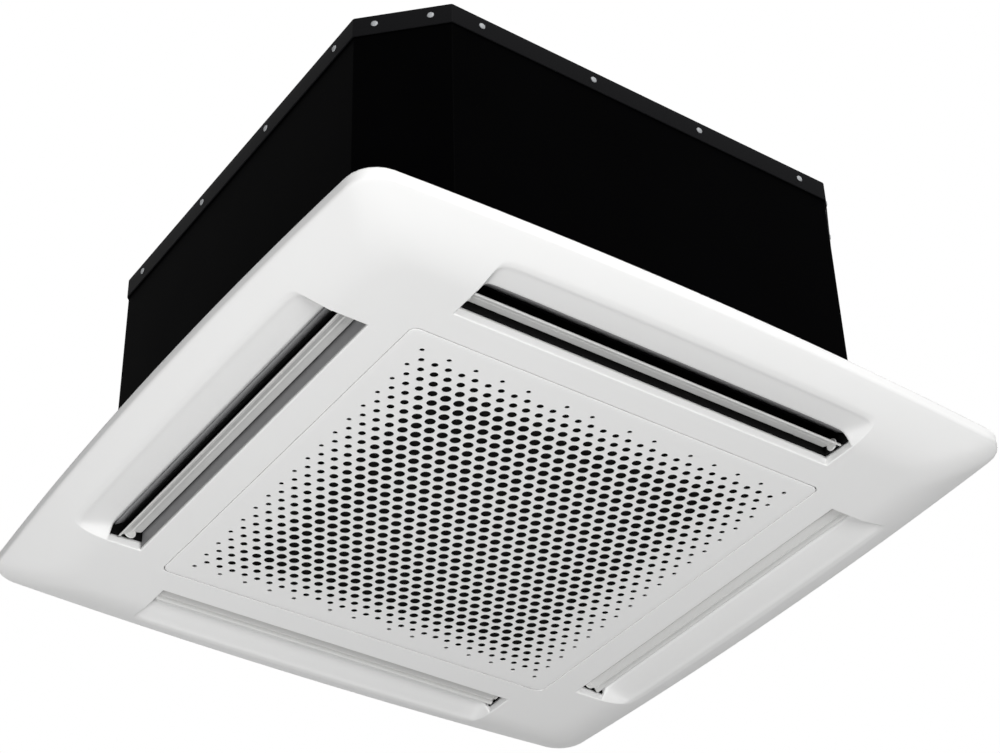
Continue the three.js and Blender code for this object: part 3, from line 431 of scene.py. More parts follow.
def soften(corners: Sequence, radius: float, steps: int = 5, closed: bool = True) -> Points:
    """A line whose corners C are rounded from A to B by the curve (1-u)^2 A + 2u(1-u) C + u^2 B.

    Args:
        corners: The corner points.
        radius: The radius of a corner's rounding.
        steps: Points of each rounding.
        closed: Whether the line returns to its start.

    Returns:
        The points of the rounded line.
    """
    corner = np.asarray(corners, float)
    before = corner - np.roll(corner, 1, axis=0)
    after = np.roll(corner, -1, axis=0) - corner
    before /= np.maximum(np.linalg.norm(before, axis=1, keepdims=True), 1e-9)
    after /= np.maximum(np.linalg.norm(after, axis=1, keepdims=True), 1e-9)
    turn = np.arccos(np.clip((before * after).sum(1), -1, 1))[:, None]
    cut = radius * np.tan(turn / 2)
    if not closed:
        cut[[0, -1]] = 0
    share = np.linspace(0, 1, steps)[None, :, None]
    start = (corner - before * cut)[:, None]
    end = (corner + after * cut)[:, None]
    middle = corner[:, None]
    arcs = (1 - share) ** 2 * start + 2 * share * (1 - share) * middle + share**2 * end
    if closed:
        return arcs.reshape(-1, corner.shape[1])
    return np.concatenate([corner[:1], arcs[1:-1].reshape(-1, corner.shape[1]), corner[-1:]])


def revolve(profile: Sequence, sides: int) -> Points:
    """A profile of radius and height turned round Z.

    Args:
        profile: Pairs of a radius and a height.
        sides: Points round the axis.

    Returns:
        A grid with one row for each profile point; its columns close on themselves.
    """
    radius, height = np.asarray(profile, float).T
    angle = np.linspace(0, 2 * np.pi, sides, endpoint=False)
    x, y = radius[:, None] * np.cos(angle), radius[:, None] * np.sin(angle)
    return np.stack([x, y, np.repeat(height[:, None], sides, 1)], -1)


def lay_along_x(grid: Points) -> Points:
    """Turns a shape round Z so that its axis lies along X: (x, y, z) becomes (z, x, y)."""
    return grid[..., [2, 0, 1]]


def sweep(path: Points, radius: float, sides: int, flat: tuple) -> Points:
    """A round section carried along a path that lies in one plane.

    Args:
        path: The path's points.
        radius: The section's radius.
        sides: Points round the section.
        flat: The direction square to the path's plane.

    Returns:
        A grid of one row for each path point; its columns close on themselves.
    """
    along = np.gradient(path, axis=0)
    along /= np.linalg.norm(along, axis=1, keepdims=True)
    across = np.cross(along, flat)
    angle = np.linspace(0, 2 * np.pi, sides, endpoint=False)[None, :, None]
    ring = np.cos(angle) * across[:, None] + np.sin(angle) * np.asarray(flat, float)[None, None]
    return path[:, None] + radius * ring


def capped(grid: Points) -> Points:
    """A closed tube whose two ends are drawn in to a point in their middle.

    Args:
        grid: The open tube, one row for each section.

    Returns:
        The grid with one more row at each end.
    """
    first = np.repeat(grid[:1].mean(1, keepdims=True), grid.shape[1], 1)
    last = np.repeat(grid[-1:].mean(1, keepdims=True), grid.shape[1], 1)
    return np.concatenate([first, grid, last])


def stacked(loops: Sequence) -> Points:
    """Loops in X and Y, each at its own height, as the rows of a grid.

    Args:
        loops: Pairs of a loop and its height.

    Returns:
        The grid.
    """
    return np.stack([np.column_stack([loop, np.full(len(loop), height)]) for loop, height in loops])


def hexagon_nut(radius: float, start: float, height: float, bore: float) -> Points:
    """A hexagonal nut round Z whose corners are bevelled at both ends.

    A side lies at the distance r cos(30 degrees), so the outline is that distance divided by
    the cosine of the angle from the nearest side's middle.

    Args:
        radius: From the axis to a corner.
        start: Height of its lower end.
        height: Its height.
        bore: Radius of its hole.

    Returns:
        A grid whose columns close on themselves.
    """
    sides, chamfer, bevel = 72, 0.6, 1.1
    angle = np.linspace(0, 2 * np.pi, sides, endpoint=False)
    past = (angle + np.pi / 6) % (np.pi / 3) - np.pi / 6
    side = radius * math.cos(math.pi / 6)
    outline, end = side / np.cos(past), start + height
    levels = [(bore, start + chamfer), (bore + chamfer, start), (side, start), (radius, start + bevel)]
    levels += [(radius, end - bevel), (side, end), (bore + chamfer, end), (bore, end - chamfer)]
    levels += [(bore, start + chamfer)]
    unit = np.column_stack([np.cos(angle), np.sin(angle)])
    return stacked([(np.minimum(outline, limit)[:, None] * unit, z) for limit, z in levels])


def piece(
    name: str,
    skin: Skin,
    finish: Finish,
    body: str = "root",
    replaces: Sequence[str] = (),
    smooth_angle: float = 35.0,
    wall: float = 0.0,
) -> bpy.types.Object:
    """Makes an object of a skin and fastens it to its body.

    Args:
        name: The piece's name.
        skin: Its surface.
        finish: Its finish.
        body: The body that it rides on.
        replaces: The solids that it stands for.
        smooth_angle: Edges sharper than this many degrees stay sharp.
        wall: Thickness in millimetres that is given to an open skin, inwards.

    Returns:
        The new object.
    """
    mesh = skin.mesh(name)
    thing = bpy.data.objects.new(name, mesh)
    bpy.context.scene.collection.objects.link(thing)
    mesh.materials.append(finish.material())
    mesh.shade_smooth()
    mesh.set_sharp_from_angle(angle=math.radians(smooth_angle))
    if wall:
        solid = thing.modifiers.new("wall", "SOLIDIFY")
        solid.thickness = wall * MM
        solid.offset = -1
    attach(thing, body)
    if replaces:
        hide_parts(*replaces)
    log.info("%s: %d points on %s", name, len(mesh.vertices), body)
    return thing


# ---- Panel ----


@dataclass
class Panel:
    """The white panel: a shallow dome with four outlets, each with a scoop outside it.

    The whole panel is four quarters. A quarter lies on +X, and its lines run outwards: straight
    along the outlet up to the fan line, and spread like a fan round the corner beyond it.
    """

    # The outline, the dome and the rim.
    half: float = 360.0
    dome: float = 75.0
    bow: float = 10.0
    corner: float = 30.0
    face: float = -30.0
    lip: float = 10.0
    lip_edge: float = 2.2
    wall: float = 2.6
    fan_line: float = 230.0
    # The opening for the grille.
    opening: float = 224.0
    opening_corner: float = 8.0
    opening_edge: float = 0.35
    ledge: float = 216.0
    ledge_z: float = -14.0
    # The outlet and the throat that leads up to its duct.
    slot_in: float = 256.0
    slot_out: float = 290.0
    slot_half: float = 204.0
    duct_in: float = 240.5
    duct_out: float = 269.5
    throat_turn_in: float = -8.0
    throat_turn_out: float = -12.5
    edge: float = 1.3
    # The scoop outside the outlet: its floor, its cheeks and how they join.
    scoop_edge: float = 4.6
    scoop_height: float = 13.4
    scoop_fall: float = 4.9
    scoop_run: float = 44.0
    scoop_power: float = 1.8
    scoop_side: float = 20.0
    inside_slope: float = 3.0
    mouth_half: float = 204.8
    mouth_spread: float = 5.7
    cheek_slope: float = 0.6
    crease: float = 1.2
    crease_spread: float = 5.0
    fillet: float = 7.0
    # Rows of the throat's walls that keep the panel's white, before the grey and black ones; the grey
    # rows are painted shade on the white wall, and the black rows are partly a dark foam liner and
    # partly painted shade.
    # White rows of the inner wall: one on ±X, followed by grey painted shade, and four on ±Y, which
    # face the light.
    white_rows: tuple = (1, 4)
    white_outer_rows: int = 9
    # The outer wall's rows painted grey as shade end here, and the black rows follow.
    painted_shade_rows_end: int = 11
    # White rows of the end walls before the black ones, which are partly painted shade under the vanes'
    # ends.
    white_end_rows: int = 4

    def share(self, x: Points, y: Points) -> Points:
        """How far out a place lies on the dome, from 0 at its flat middle to 1 at its rim.

        The rings of the dome are soft squares. Their share is found by halving: a place lies
        outside a ring when it is past the bowed side, or past the round corner.

        Args:
            x: Distance across each place's quarter.
            y: Distance along it.

        Returns:
            The share of each place.
        """
        halvings, furthest = 24, 1.05
        side, along = np.maximum(np.abs(x), np.abs(y)), np.minimum(np.abs(x), np.abs(y))
        low, high = np.zeros_like(side), np.full_like(side, furthest)
        for _ in range(halvings):
            middle = (low + high) / 2
            half = self.half - self.dome * (1 - middle)
            bow = self.bow * middle
            centre, reach, _ = self._corner(half, bow)
            past_side = side - (half - bow * (along / reach) ** 2)
            past_corner = np.hypot(side - centre, along - centre) - self.corner
            outside = np.where(along <= reach, past_side, past_corner) > 0
            low, high = np.where(outside, middle, low), np.where(outside, high, middle)
        return low

    def _corner(self, half: float | Points, bow: float | Points) -> tuple:
        """The round corner of a soft square.

        Args:
            half: Half of the square's width.
            bow: How far its sides draw in towards their ends.

        Returns:
            The corner's centre, how far along the side ends, and the side's lean there.
        """
        lean = np.arctan(2 * bow / (half - bow - self.corner))
        centre = half - bow - self.corner * np.cos(lean)
        return centre, centre + self.corner * np.sin(lean), lean

    def height(self, x: Points, y: Points) -> Points:
        """Height of the panel's underside: the dome 20 s^2, or the scoop where that is higher.

        The scoop's floor falls from the outlet outwards by a power, and slanting cheeks close
        its two ends. Inside the outlet's outer edge it drops away.

        Args:
            x: Distance across each place's quarter.
            y: Distance along it.

        Returns:
            The height of each place.
        """
        dome = (-self.face - self.lip) * self.share(x, y) ** 2
        out = np.clip((x - self.slot_out) / self.scoop_run, 0, 1.3)
        fall = 1 - np.clip(1 - out, 0, 1) ** self.scoop_power
        floor = self.scoop_height - self.scoop_fall * fall
        cheek = (self.mouth_half + self.mouth_spread * out - np.abs(y)) / self.cheek_slope
        scoop = -smooth_max(-floor, -cheek, self.fillet)
        scoop = scoop - self.inside_slope * np.maximum(self.slot_out - x, 0)
        crease = self.crease + self.crease_spread * np.clip(out, 0, 1)
        lifted = smooth_max(dome, scoop, crease)
        settle = crease**2 / 4 / np.maximum(np.abs(dome - scoop), crease / 2)
        return self.face + np.maximum(lifted - settle, dome)

    def lifted(self, x: Points, y: Points) -> Points:
        """Places on the underside, with the outlet's edges rounded upwards.

        On the scoop's side the rounding grows with the scoop's depth there.

        Args:
            x: Distance across each place's quarter.
            y: Distance along it.

        Returns:
            Places with their heights.
        """
        across = np.maximum(self.slot_in - x, 0) + np.maximum(x - self.slot_out, 0)
        end = np.maximum(np.abs(y) - self.slot_half, 0)
        height = self.height(x, y)
        depth = np.clip((height - self.face) / self.scoop_height, 0, 1)
        beside = x > self.slot_in + self.scoop_side
        radius = self.edge + (self.scoop_edge - self.edge) * depth * beside
        return np.stack([x, y, height + rise(np.hypot(across, end), radius)], -1)

    def stations(self) -> tuple:
        """The lines that run outwards over one quarter, from its middle to its corner.

        Returns:
            Distance along the outlet, then the share of the way round the corner, of each line.
        """
        cheek_start, step = 174, 2.0
        straight = np.linspace(0, cheek_start - 2, 24)
        cheeks = np.append(np.arange(cheek_start, self.slot_half - 1, step), self.slot_half)
        rounding = self.slot_half + np.array([0.05, 0.2, 0.5, 0.9, 1.3, 2.0, 3.2])
        beyond = np.linspace(self.slot_half + 5, self.fan_line, 12)
        fan = np.linspace(0, 1, 17)[1:]
        parallel = np.concatenate([straight, cheeks, rounding, beyond])
        along = np.concatenate([parallel, np.full(len(fan), self.fan_line)])
        shares = np.concatenate([np.zeros(len(parallel)), fan])
        return np.concatenate([-along[:0:-1], along]), np.concatenate([shares[:0:-1], shares])

    def rim(self) -> Points:
        """The panel's outline over one quarter, one point for each line.

        Returns:
            Points in X and Y.
        """
        along, share = self.stations()
        size = np.abs(along)
        centre, reach, lean = self._corner(self.half, self.bow)
        run = reach - self.fan_line + self.corner * (math.pi / 4 - lean)
        past = share * run - (reach - self.fan_line)
        angle = lean + past / self.corner
        y = np.where(past > 0, centre + self.corner * np.sin(angle), size + share * run)
        bowed = self.half - self.bow * (y / reach) ** 2
        x = np.where(past > 0, centre + self.corner * np.cos(angle), bowed)
        return np.stack([x, np.sign(along) * y], -1)

    def round_line(self, half: float, corner: float) -> Points:
        """A round-cornered square over one quarter, one point for each line.

        Args:
            half: Half of its width.
            corner: Radius of its corners.

        Returns:
            Points in X and Y.
        """
        along, share = self.stations()
        size = np.abs(along) + share * (self.slot_in - self.fan_line)
        span = self.slot_in - self.slot_half
        run = half - corner - self.slot_half + corner * math.pi / 4
        past = (size - self.slot_half) / span * run - (half - corner - self.slot_half)
        angle = np.maximum(past, 0) / corner
        straight = np.where(size < self.slot_half, size, half - corner + past)
        y = np.where(past > 0, half - corner + corner * np.sin(angle), straight)
        x = np.where(past > 0, half - corner + corner * np.cos(angle), half)
        return np.stack([x, np.sign(along) * y], -1)

    def line(self, x: float) -> Points:
        """The crossing of every line with one distance from the middle.

        Args:
            x: The distance.

        Returns:
            Points in X and Y.
        """
        along, share = self.stations()
        y = np.abs(along) + share * (x - self.fan_line)
        return np.stack([np.full_like(y, x), np.sign(along) * y], -1)

    def flat_rows(self) -> Points:
        """Rows of the face from the grille's opening to the outlet's inner edge.

        Returns:
            A grid of one quarter.
        """
        start, end = self.round_line(self.opening, self.opening_corner), self.line(self.slot_in)
        near = np.array([0, 0.04, 0.16, 0.35, 0.6, 0.9])
        far = self.slot_in - self.opening - np.array([8, 4, 2.2, 1.3, 0.8, 0.4, 0.15, 0.04, 0])
        away = np.concatenate([near, [2, 4, 8, 14, 20], far])
        rows = blend(start, end, away / (self.slot_in - self.opening))
        places = self.lifted(rows[..., 0], rows[..., 1])
        places[..., 2] += rise(away, self.opening_edge)[:, None]
        return places

    def outer_rows(self) -> Points:
        """Rows of the underside from the outlet's outer edge to the panel's rim.

        Returns:
            A grid of one quarter.
        """
        start, end = self.line(self.slot_out), self.rim()
        near = [0, 0.06, 0.25, 0.7, 1.4, 2.3, 3.2, 4.5]
        middle = np.arange(6, 58, 2.0)
        away = np.concatenate([near, middle, [60, 63, 66, 67.8, 68.6, 69.2, 69.7, 69.93, 70]])
        rows = blend(start, end, away / away[-1])
        places = self.lifted(rows[..., 0], rows[..., 1])
        inside = np.linalg.norm(rows - end[None], axis=-1)
        places[..., 2] += rise(inside, self.lip_edge)
        return places

    def end_blocks(self) -> list:
        """The face past the two ends of the outlet.

        Returns:
            Two grids, one for each end.
        """
        along, _ = self.stations()
        x = np.linspace(self.slot_in, self.slot_out, 13)
        rows = np.stack([self.line(value) for value in x])
        places = self.lifted(rows[..., 0], rows[..., 1])
        return [places[:, along >= self.slot_half], places[:, along <= -self.slot_half]]

    def throat(self) -> tuple:
        """The outlet's four walls, which lead up to the duct.

        The inner and outer walls follow a rounded profile each, and the end walls run straight
        between the two profiles. Each wall starts white, and the rest of it is dark: grey painted
        shade, then black foam that partly stands for shade too.

        Returns:
            The grids of the white walls, the whole inner wall, the grey band of painted shade on the
            outer wall, and the other dark walls.
        """
        along, _ = self.stations()
        y = along[np.abs(along) <= self.slot_half]
        first = self.lifted(np.full_like(y, self.slot_in), y)
        last = self.lifted(np.full_like(y, self.slot_out), y)
        walls = [
            self._wall(first, self.duct_in, self.throat_turn_in),
            self._wall(last, self.duct_out, self.throat_turn_out),
        ]
        x = np.linspace(self.slot_in, self.slot_out, 13)
        for side, index in ((1, -1), (-1, 0)):
            bottom = self.lifted(x, np.full_like(x, side * self.slot_half))
            share = ((x - self.slot_in) / (self.slot_out - self.slot_in))[None, :, None]
            rows = walls[0][:, index][:, None] * (1 - share) + walls[1][:, index][:, None] * share
            fade = np.clip(1 - np.arange(len(rows)) / 4, 0, 1)[:, None]
            rows[..., 2] += fade * (bottom[:, 2] - rows[0, :, 2])[None]
            walls.append(rows)
        inner, outer, *ends = walls
        white = [outer[: self.white_outer_rows + 1]] + [end[: self.white_end_rows + 1] for end in ends]
        # The outer wall's grey band is painted shade: the white wall darkening towards the duct.
        lip = outer[self.white_outer_rows : self.painted_shade_rows_end + 1]
        dark = [outer[self.painted_shade_rows_end :]] + [end[self.white_end_rows :] for end in ends]
        return white, inner, lip, dark

    def _wall(self, edge: Points, top: float, turn: float) -> Points:
        """A wall that rises straight from an edge, turns in a small rounding and runs to the duct.

        Args:
            edge: The points that it starts from.
            top: Its distance from the middle at the duct.
            turn: The height of its turn.

        Returns:
            A grid with one row for each step upwards.
        """
        corner = np.stack([edge[:, 0], edge[:, 1], np.maximum(turn, edge[:, 2] + 0.5)], -1)
        end = np.stack([np.full(len(edge), top), edge[:, 1], np.zeros(len(edge))], -1)
        before, after = corner + 0.15 * (edge - corner), corner + 0.2 * (end - corner)
        share = np.array([0.3, 0.7])[:, None, None]
        bend = (1 - share) ** 2 * before + 2 * share * (1 - share) * corner + share**2 * after
        rise_rows = blend(edge, before, (0, 0.1, 0.2, 0.35, 0.5, 0.75, 1))
        return np.concatenate([rise_rows, bend, blend(after, end, (0, 0.3, 0.6, 0.85, 1))])

    def well(self) -> Points:
        """The stepped wall round the grille's opening.

        Returns:
            A grid of one quarter, from the face up to the ceiling.
        """
        outer = self.round_line(self.opening, self.opening_corner)
        inner = self.round_line(self.ledge, self.opening_corner)
        low = self.face + self.opening_edge
        levels = [(outer, low), (outer, self.ledge_z - 0.4), (outer, self.ledge_z)]
        levels += [(inner, self.ledge_z), (inner, self.ledge_z + 0.4), (inner, 0.0)]
        return stacked(levels)

    def lip_rows(self) -> Points:
        """The upright rim, up to the ceiling.

        Returns:
            A grid of one quarter.
        """
        rows = self.outer_rows()[-1]
        heights = (0, 0.4, 0.8, 1)
        top = np.column_stack([rows[:, :2], np.zeros(len(rows))])
        return blend(rows, top, heights)

    def build(self) -> None:
        """Makes the panel's white shell, the black throats of its outlets, and the grey painted shade
        on their white walls.
        """
        shell, throats, painted_shade = Skin(), Skin(), Skin()
        white, inner, lip, dark = self.throat()
        grids = [self.flat_rows(), self.outer_rows(), self.lip_rows(), self.well()]
        for grid in grids + self.end_blocks() + white:
            shell.add_turned(grid)
        painted_shade.add_turned(lip)
        for grid in dark:
            throats.add_turned(grid)
        # The inner wall past its white rows is grey painted shade on ±X and black on ±Y, so the same
        # wall is painted lit or shaded by side.
        for turn, (cosine, sine) in enumerate(QUARTERS):
            rest, start = (painted_shade, throats)[turn % 2], self.white_rows[turn % 2]
            shell.add(turn_about_z(inner[: start + 1], cosine, sine))
            rest.add(turn_about_z(inner[start:], cosine, sine))
        face_down(piece("panel_shell", shell, PANEL_WHITE, replaces=["panel_frame"], wall=self.wall))
        # Black foam throats: a dark liner, and partly painted shade, since the black begins where the
        # white walls fall into shade.
        piece("outlet_throats", throats, BLACK_FOAM, wall=self.wall / 2)
        # Grey painted shade on the white throat walls.
        piece("outlet_painted_shade", painted_shade, GREY_PLASTIC_AND_PAINTED_SHADE, wall=self.wall / 2)


def face_down(thing: bpy.types.Object) -> None:
    """Turns an open skin's faces so that most of them look down.

    Args:
        thing: The object with the skin.
    """
    mesh = thing.data
    normals = np.empty(len(mesh.polygons) * 3, np.float32)
    areas = np.empty(len(mesh.polygons), np.float32)
    mesh.polygons.foreach_get("normal", normals)
    mesh.polygons.foreach_get("area", areas)
    if (normals.reshape(-1, 3)[:, 2] * areas).sum() > 0:
        mesh.flip_normals()


# ---- Vanes ----


@dataclass
class Vanes:
    """The four air vanes: curved blades with a beaded outer edge, and a disc and pin at each end."""

    chord: float = 27.0
    thickness: float = 2.2
    camber: float = 2.6
    bead: float = 0.8
    bead_inset: float = 1.6
    groove: float = 0.9
    groove_x: tuple = (8.6, -1.0)
    groove_width: float = 0.8
    blade_half: float = 200.0
    tilt: float = 28.0
    centre_x: float = 270.5
    centre_z: float = -17.0
    disc_radius: float = 6.0
    disc: float = 1.5
    pin_radius: float = 2.5
    pin_length: float = 7.0
    pin_end: float = 205.3

    def section(self) -> Points:
        """The blade's outline: a cambered line with a bead at its outer edge and two grooves below.

        The half thickness is t (1 - (x/h)^8)^(1/2) (1 - (x/h)^2 / 4). The bead and the
        grooves are bell curves e^(-d^2) about their places.

        Returns:
            Points in X and Z round the section.
        """
        half = self.chord / 2
        x = half * np.cos(np.linspace(0, np.pi, 72))
        line = self.camber * (1 - (x / half) ** 2) - self.camber / 2
        blunt = np.sqrt(np.maximum(1 - (x / half) ** 8, 0))
        thick = self.thickness / 2 * blunt * (1 - 0.25 * (x / half) ** 2)
        bead = self.bead * np.exp(-(((x - half + self.bead_inset) / self.bead_inset) ** 2)) * blunt
        from_grooves = [(x - place) / self.groove_width for place in self.groove_x]
        groove = sum(self.groove * np.exp(-(away**2)) for away in from_grooves)
        upper = np.stack([x, line + thick + bead / 2], -1)
        lower = np.stack([x, line - thick - bead + groove], -1)[::-1]
        return np.concatenate([upper, lower[1:-1]])

    def blade(self) -> Skin:
        """One vane about its own axis, which lies along Y.

        Returns:
            Its skin.
        """
        outline, edge = self.section(), 0.3
        share = np.concatenate([[-1, -0.9985], np.linspace(-0.994, 0.994, 31), [0.9985, 1]])
        y = share * self.blade_half
        scale = np.where(np.abs(y) > self.blade_half - 0.2, 0.97, 1.0)
        grid = stacked([(outline * size, place) for size, place in zip(scale, y)])[..., [0, 2, 1]]
        skin = Skin().add(capped(grid), closed=True)
        radius, disc_top, pin_length = self.disc_radius, self.disc, self.pin_length
        disc = [(0.0, 0.0), (radius - edge, 0.0), (radius, edge), (radius, disc_top - edge)]
        disc += [(radius - edge, disc_top), (0.0, disc_top)]
        pin = [(0.0, 0.0), (self.pin_radius, 0.0), (self.pin_radius, pin_length), (0.0, pin_length)]
        starts = (self.blade_half - disc_top, self.pin_end - pin_length)
        for end in (-1, 1):
            for profile, start in zip((disc, pin), starts):
                turned = revolve([(r, start + h) for r, h in profile], 24)
                skin.add(turned[..., [0, 2, 1]] * (1, end, 1), closed=True)
        return skin

    def build(self) -> None:
        """Makes the four vanes at their resting tilt, outer edge down."""
        lean = math.radians(self.tilt)
        for side, (cosine, sine) in zip(SIDES, QUARTERS):
            skin = self.blade()
            turned = []
            for points in skin.points:
                x = points[:, 0] * math.cos(lean) + points[:, 2] * math.sin(lean) + self.centre_x
                z = points[:, 2] * math.cos(lean) - points[:, 0] * math.sin(lean) + self.centre_z
                turned.append(turn_about_z(np.stack([x, points[:, 1], z], -1), cosine, sine))
            skin.points = turned
            piece(f"air_vane_{side}", skin, VANE_GREY, f"vane_{side}", [f"vane_{side}"])


# ---- Intake grille ----


@dataclass
class Grille:
    """The perforated intake grille with its folded border and inner rim."""

    # The plate and its folded border.
    half: float = 223.0
    corner: float = 7.5
    face: float = -30.0
    plate: float = 0.8
    border: float = 5.0
    rim_outer: float = 210.0
    rim_wall: float = 3.0
    rim_top: float = -16.0
    edge: float = 0.5
    # The holes: diameters go from the outermost ring inwards, and sparse names the end rows' holes.
    columns: int = 30
    rows: int = 35
    pitch_x: float = 13.78
    pitch_y: float = 11.8
    diameters: tuple = (4.6, 6.4, 7.7, 9.0, 10.2)
    sparse: tuple = (0, 2, 4, 6, 8, 11, 13, 16, 18, 21, 23, 25, 27, 29)
    side_steps: int = 4

    def places(self) -> tuple:
        """Centres of the full cells, whether each is pierced, and its hole's diameter.

        Even rows have a hole in each column. Odd rows are shifted by half a pitch and have one
        hole less. The first and last rows have only the sparse columns.

        Returns:
            Centres, pierced flags and diameters.
        """
        centres, pierced = [], []
        for row in range(self.rows):
            shifted = row % 2
            column = np.arange(self.columns - shifted)
            x = (column - (self.columns - 1 - shifted) / 2) * self.pitch_x
            y = (row - (self.rows - 1) / 2) * self.pitch_y
            centres.append(np.column_stack([x, np.full_like(x, y)]))
            end = row in (0, self.rows - 1)
            pierced.append(np.isin(column, self.sparse) if end else np.ones(len(column), bool))
        centre = np.concatenate(centres)
        ring_x = (self.columns - 1) / 2 - np.abs(centre[:, 0]) / self.pitch_x
        ring_y = (self.rows - 1) / 2 - np.abs(centre[:, 1]) / self.pitch_y
        ring = np.minimum(ring_x, ring_y)
        diameter = np.interp(ring, range(len(self.diameters)), self.diameters)
        return centre, np.concatenate(pierced), diameter

    def cell_border(self) -> Points:
        """The points round one cell, starting at its lower left corner.

        Returns:
            Points in X and Y about the cell's middle.
        """
        step = np.arange(self.side_steps) / self.side_steps * 2 - 1
        ones = np.ones(self.side_steps)
        loop = np.concatenate([
            np.column_stack([step, -ones]), np.column_stack([ones, step]),
            np.column_stack([-step, ones]), np.column_stack([-ones, -step]),
        ])
        return loop * (self.pitch_x / 2, self.pitch_y / 2)

    def pierced_cells(self, skin: Skin) -> None:
        """Adds every pierced cell: its face, the hole's wall and its back.

        Each cell is a loft of four loops: the cell's border, the hole's edge, and both again
        at the plate's back.

        Args:
            skin: The skin that takes them.
        """
        centre, pierced, diameter = self.places()
        centre, radius = centre[pierced], diameter[pierced] / 2
        border = self.cell_border()
        count = len(border)
        angle = math.radians(225) + 2 * math.pi * np.arange(count) / count
        circle = np.column_stack([np.cos(angle), np.sin(angle)])
        outer = centre[:, None] + border[None]
        hole = centre[:, None] + radius[:, None, None] * circle[None]
        back = self.face + self.plate
        loops = [(outer, self.face), (hole, self.face), (hole, back), (outer, back)]
        levels = [np.concatenate([loop, np.full((*loop.shape[:2], 1), z)], -1) for loop, z in loops]
        points = np.stack(levels, 1)
        index = np.arange(points[..., 0].size).reshape(len(centre), len(levels), count)
        after = np.roll(index, -1, axis=2)
        quads = [index[:, :-1], after[:, :-1], after[:, 1:], index[:, 1:]]
        skin.add_faces(points.reshape(-1, 3), np.stack(quads, -1).reshape(-1, 4))

    def blank_cells(self, skin: Skin) -> None:
        """Adds the blank cells of the end rows and the half cells beside the shifted rows.

        Args:
            skin: The skin that takes them.
        """
        centre, pierced, _ = self.places()
        steps = np.linspace(-1, 1, self.side_steps + 1)
        for x, y in centre[~pierced]:
            self._blank(skin, x + steps * self.pitch_x / 2, y + steps * self.pitch_y / 2)
        reach = self.columns * self.pitch_x / 2
        half = np.linspace(0, self.pitch_x / 2, self.side_steps // 2 + 1)
        for row in range(1, self.rows, 2):
            y = (row - (self.rows - 1) / 2) * self.pitch_y + steps * self.pitch_y / 2
            self._blank(skin, -reach + half, y)
            self._blank(skin, reach - half[::-1], y)

    def _blank(self, skin: Skin, x: Points, y: Points) -> None:
        """Adds a blank rectangle to the face and to the back.

        Args:
            skin: The skin that takes it.
            x: Its columns' places.
            y: Its rows' places.
        """
        across, along = np.meshgrid(x, y)
        for z in (self.face, self.face + self.plate):
            skin.add(np.stack([across, along, np.full_like(across, z)], -1))

    def loop(self, half_x: float, half_y: float, corner: float) -> Points:
        """A round-cornered rectangle with a point for each point of the pierced field's edge.

        Args:
            half_x: Half of its width along X.
            half_y: Half of its width along Y.
            corner: Radius of its corners.

        Returns:
            Points in X and Y.
        """
        counts = (self.columns * self.side_steps, self.rows * self.side_steps)
        sides = []
        for turn, (cosine, sine) in enumerate(QUARTERS):
            across, along = (half_x, half_y) if turn % 2 == 0 else (half_y, half_x)
            share = np.linspace(-1, 1, counts[(turn + 1) % 2] + 1)[:-1]
            run = along - corner + corner * math.pi / 4
            past = np.abs(share) * run - (along - corner)
            angle = np.maximum(past, 0) / max(corner, 1e-6)
            v = np.where(past > 0, along - corner + corner * np.sin(angle), np.abs(share) * run)
            u = across - corner + corner * np.where(past > 0, np.cos(angle), 1)
            v = v * np.sign(share)
            sides.append(np.column_stack([cosine * u - sine * v, sine * u + cosine * v]))
        return np.concatenate(sides)

    def border_loops(self) -> Points:
        """Loops from the pierced field's edge out over the border and back along the inside.

        Returns:
            A grid with one row for each loop; its columns close on themselves.
        """
        field = self.loop(self.columns * self.pitch_x / 2, self.rows * self.pitch_y / 2, 0)
        top, back = self.face + self.border, self.face + self.plate
        rim, inner = self.rim_outer, self.rim_outer - self.rim_wall
        hem, bevel = 0.4, 0.3
        profile = [(self.half - 6, self.face)]
        for turn in np.linspace(0, math.pi / 2, 5):
            inwards, upwards = 1 - math.sin(turn), 1 - math.cos(turn)
            profile.append((self.half - self.edge * inwards, self.face + self.edge * upwards))
        profile += [(self.half, top - hem), (self.half - hem, top), (rim + bevel, top)]
        profile += [(rim, top + bevel), (rim, self.rim_top - bevel), (rim - bevel, self.rim_top)]
        profile += [(inner + bevel, self.rim_top), (inner, self.rim_top - bevel), (inner, back)]
        loops = [(field, self.face)]
        for half, z in profile:
            on_face = half > rim + 6
            corner = self.corner - self.half + half if on_face else 1.0
            loops.append((self.loop(half, half, corner), z))
        return stacked([*loops, (field, back)])

    def build(self) -> None:
        """Makes the grille."""
        skin = Skin()
        self.pierced_cells(skin)
        self.blank_cells(skin)
        skin.add(self.border_loops(), closed=True)
        piece("perforated_grille", skin, PANEL_WHITE, "grille", ["intake_grille"])


# ---- Cabinet ----


